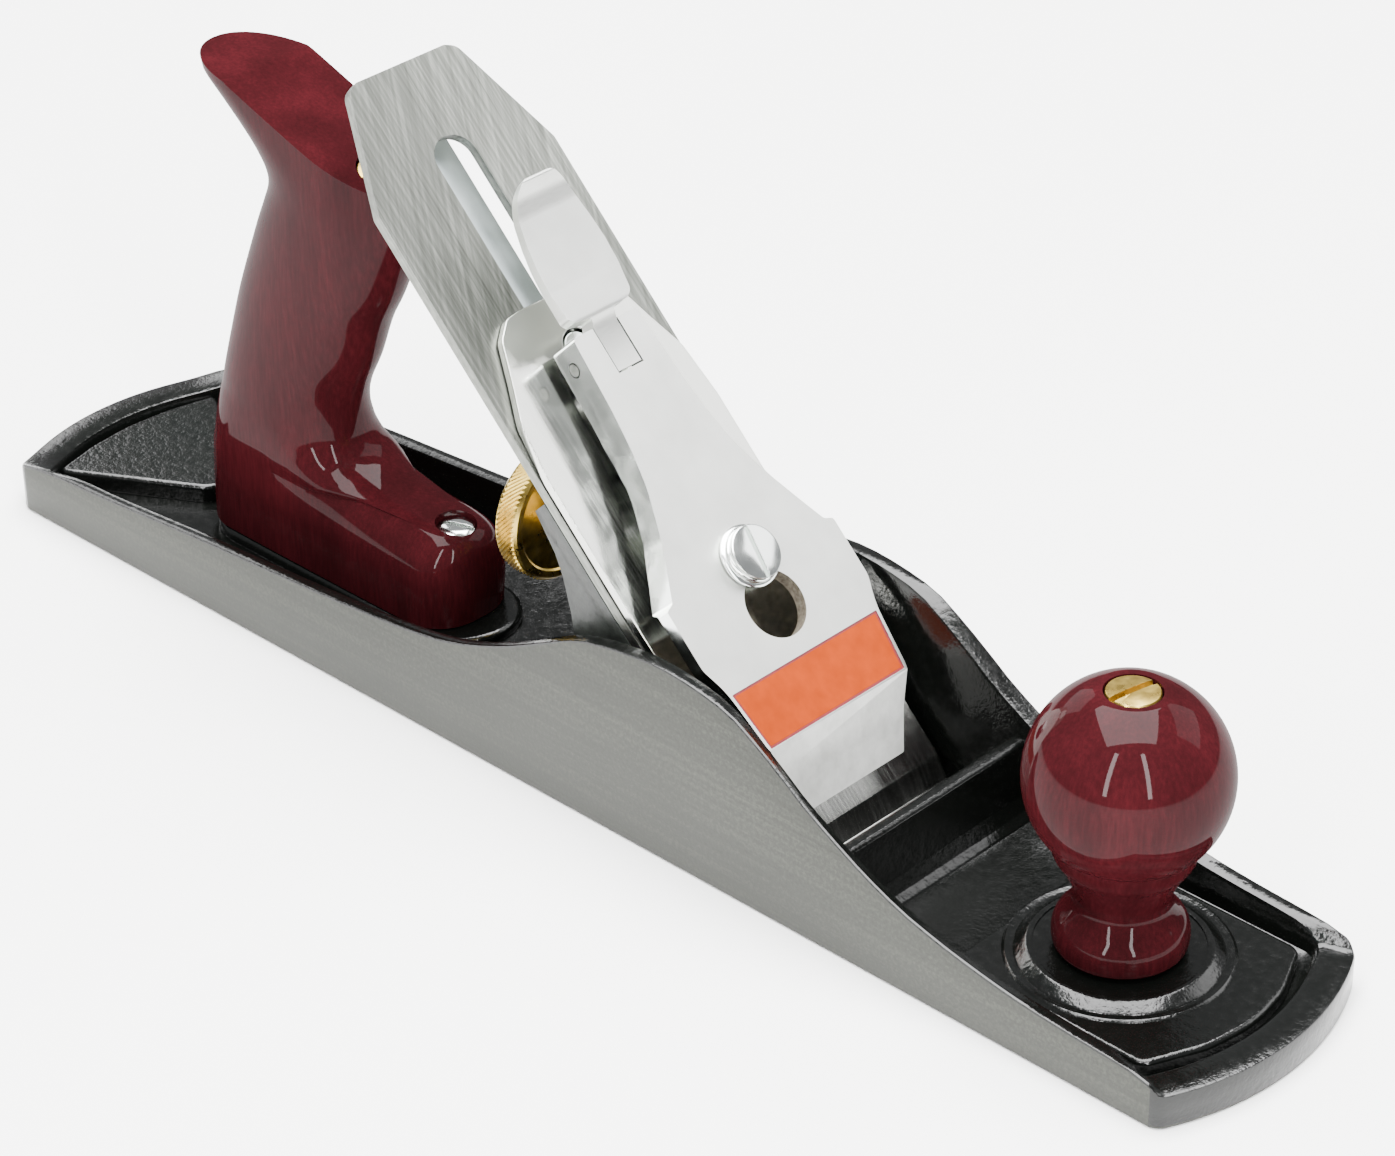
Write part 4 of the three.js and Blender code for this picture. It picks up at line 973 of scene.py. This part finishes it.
def lever_cap():
    """A hollow plated casting: broad at the lip, waisted towards the cam, with a keyhole."""
    outline = filleted(mirrored(CAP_SHAPE), [*CAP_RADII, *reversed(CAP_RADII)], 8)
    made = piece("lever_cap_fine", prism(outline, 2.7, CAP_FACE), SATIN, "lever_cap_body", BED)
    under = [
        (15, 1), (24, 2.7), (34, 10), (66, 10), (67, 5.5), (82, 7), (92, 6.9), (102, 5.4), (121, 4.8),
        (126, 5), (126, 1),
    ]
    cut(made, side_prism(filleted(under, [0, 0, 2, 1, 1, 12, 14, 12, 6, 0, 0], 6), 40), BED)
    lip_slope = [(14, 2.58), (14, 16), (33, 16), (LIP_END, CAP_FACE)]
    cut(made, side_prism(lip_slope, 40), BED)
    wall = 3
    inner = [(s, half - wall) for s, half in CAP_SHAPE if s > 66.5]
    inner[0] = (62, inner[0][1])
    inner[-1] = (121.3, inner[-1][1])
    inner_radii = [0, 20, 25, 25, 25, 20, 2]
    hollow = filleted(mirrored(inner), [*inner_radii, *reversed(inner_radii)], 6)
    cut(made, prism(hollow, 0, 10.3), BED)
    keyhole = [*arc(CAP_SCREW_S, 0, 4.2, -82, 82, 20), *arc(KEYHOLE_S, 0, 7.5, 34, 326, 44)]
    cut(made, prism(keyhole, 0, 20), BED)
    cam_slot = block(113.6, 130, 3.6, 0, 20)
    cut(made, cam_slot, BED)
    cam_relief = block(112.2, 115, 3.6, 0, CAP_FACE - 0.8)
    cut(made, cam_relief, BED)
    cut(made, rod(PIN_HOLE, -20, 20), PIN_LINE)
    cut(made, prism(panel_outline(0.7), CAP_FACE - 0.35, CAP_FACE + 2), BED)
    soften(made, 0.3, 3, 34)
    for material in (BRIGHT, RAW, LIP):
        made.data.materials.append(material)
    sides, hole_wall, lip = 1, 2, 3
    bed_back = BED.inverted()
    for face in made.data.polygons:
        centre = bed_back @ (Vector(face.center) / MM)
        normal = bed_back.to_3x3() @ Vector(face.normal)
        in_round = math.hypot(centre.x - KEYHOLE_S, centre.y) < 7.7
        in_neck = 56 < centre.x < 72 and abs(centre.y) < 4.4
        if (in_round or in_neck) and normal.z < 0.5:
            face.material_index = hole_wall
        elif normal.z < 0.6:
            face.material_index = sides
        elif centre.x < LIP_END and normal.x < -0.3:
            face.material_index = lip
    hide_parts("lever_cap")


def panel_outline(inset, low=31.4, high=44.8):
    """The label panel's edge, following the cap's sides."""
    side = sorted(CAP_SHAPE)
    sides = [(s, height_at(side, s) - inset) for s in (low, (low + high) / 2, high)]
    return filleted(mirrored(sides), 0.3, 3)


def label():
    """The plain painted panel in its recess, with a thin border round it."""
    low = CAP_FACE - 0.45
    paint = prism(panel_outline(1.25, 31.9, 44.3), low, CAP_FACE - 0.12)
    soften(piece("label_panel", paint, ORANGE, "lever_cap_body", BED), 0.08, 2)
    line = prism(panel_outline(0.75), low, CAP_FACE - 0.16)
    soften(piece("label_border", line, RED_LINE, "lever_cap_body", BED), 0.06, 2)


lever_cap()
label()


def cam_lever():
    """The thumb lever: a tapered blade that swells to a leaf and turns up at its end."""
    side = [
        (114, 11.9), (114, 13.35), (123.8, 13.4), (126.8, 15.1), (134.5, 15.5), (145, 16.4), (150.5, 17),
        (153.5, 17.9),
        (156.9, 20), (157.6, 19.6), (156.4, 17.2), (153.5, 15.7), (150, 14.7), (145, 14.1), (134, 13),
        (127.6, 11.9),
        (124.2, 8.9), (118.8, 4),
    ]
    plan = mirrored([
        (112, 3.3), (126.3, 3.3), (126.8, 7.6), (128, 9.2), (134.5, 10), (140, 9.9), (145, 9.3),
        (151, 8.1), (154.6, 6.7),
        (156.9, 4.6), (157.9, 1.8),
    ])
    radii = [0.8, 0, 0, 3, 20, 20, 9, 9, 0.5, 0.5, 6, 8, 10, 20, 20, 6, 4, 0]
    made = piece("cam_lever_fine", side_prism(filleted(side, radii, 6), 12), SATIN, "cam", BED)
    plan_radii = [0, 0.8, 1, 2, 12, 12, 12, 12, 8, 4, 1]
    cut(made, prism(filleted(plan, [*plan_radii, *reversed(plan_radii)], 6), 0, 30), BED, "INTERSECT")
    cam = piece("cam_eye", rod(4.2, -3.3, 3.3, 48), BRIGHT, "cam", PIN_LINE)
    cut(cam, rod(PIN_HOLE, -9, 9), PIN_LINE)
    cut(made, rod(3.9, -9, 9), PIN_LINE)
    soften(made, 0.5, 4, 34)
    soften(cam, 0.2, 2)
    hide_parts("cam_lever")


cam_lever()


# ---- Depth wheel ----
def depth_wheel():
    """A brass wheel with a diamond-knurled rim, a dished face and a grooved hub."""
    radius = WHEEL_HIGH.y - 0.02
    back, front = WHEEL_LOW.x, WHEEL_LOW.x + 6.4
    bore = 3.3
    teeth, rows = 84, 11
    depth = 0.42
    chamfer = 0.55
    hub = WHEEL_HIGH.x
    bm = bmesh.new()

    def ring_of(r, x):
        return [bm.verts.new((x, y, z)) for y, z in circle(r, teeth * 2)]

    face_profile = [
        (bore, hub), (6.5, hub), (6.5, hub - 1.5), (4.2, hub - 1.5), (4.2, hub - 6.1), (6.5, hub - 6.1),
        (6.5, front - 0.4), (7.2, front - 0.5), (12.6, front - 0.5), (13, front - 0.4), (13.4, front),
        (radius - depth - chamfer, front),
    ]
    back_profile = [
        (radius - depth - chamfer, back), (13.2, back), (12.4, back + 1), (9, back + 1.2), (7, back + 0.2),
        (bore, back),
    ]
    rings = [ring_of(r, x) for r, x in face_profile]
    for row in range(rows):
        x = front - chamfer + (back - front + 2 * chamfer) * row / (rows - 1)
        ring = []
        for k, (y, z) in enumerate(circle(1, teeth * 2)):
            peak = (k + row) % 2 == 0 and 0 < row < rows - 1
            r = radius if peak else radius - depth
            ring.append(bm.verts.new((x, r * y, r * z)))
        rings.append(ring)
    rings += [ring_of(r, x) for r, x in back_profile]
    for a, b in zip(rings, [*rings[1:], rings[0]]):
        for k in range(len(a)):
            j = (k + 1) % len(a)
            bm.faces.new((a[k], a[j], b[j], b[k]))
    bmesh.ops.recalc_face_normals(bm, faces=bm.faces)
    knurl = [f for f in bm.faces if f.calc_center_median().yz.length > radius - 0.9]
    bmesh.ops.triangulate(bm, faces=knurl)
    made = piece("depth_wheel_fine", bm, BRASS, "wheel", Matrix.Translation((0, 0, WHEEL_Z)), sharp=18)
    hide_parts("depth_wheel")


depth_wheel()


# ---- Frog, adjusters and fastenings, from their CAD shapes ----
refined("frog", FROG_GREY, "frog_body", 0.4)
refined("depth_yoke", MILD, "yoke", 0.25)
refined("lateral_lever", ZINC, "lateral", 0.25)
refined("frog_adjust_screw", BRIGHT, "adjust_screw", 0.2)
refined("cap_iron_screw", BRIGHT, "iron_carriage", 0.2)
refined("lever_cap_spring", MILD, "lever_cap_body", 0.15)

CARRIED = {
    "frog_clip": MILD, "frog_clip_screw": BRIGHT, "frog_screw_right": MILD, "frog_screw_left": MILD,
    "frog_washer_right": MILD, "frog_washer_left": MILD, "yoke_pin": MILD, "lateral_rivet": MILD,
    "lateral_roller": BRIGHT, "spring_rivet": MILD, "cam_pin": MILD, "depth_stud": MILD, "tote_rod": MILD,
    "knob_rod": MILD,
}
for name, material in CARRIED.items():
    node = frame["nodes"][name]
    node.data.materials.clear()
    node.data.materials.append(material)
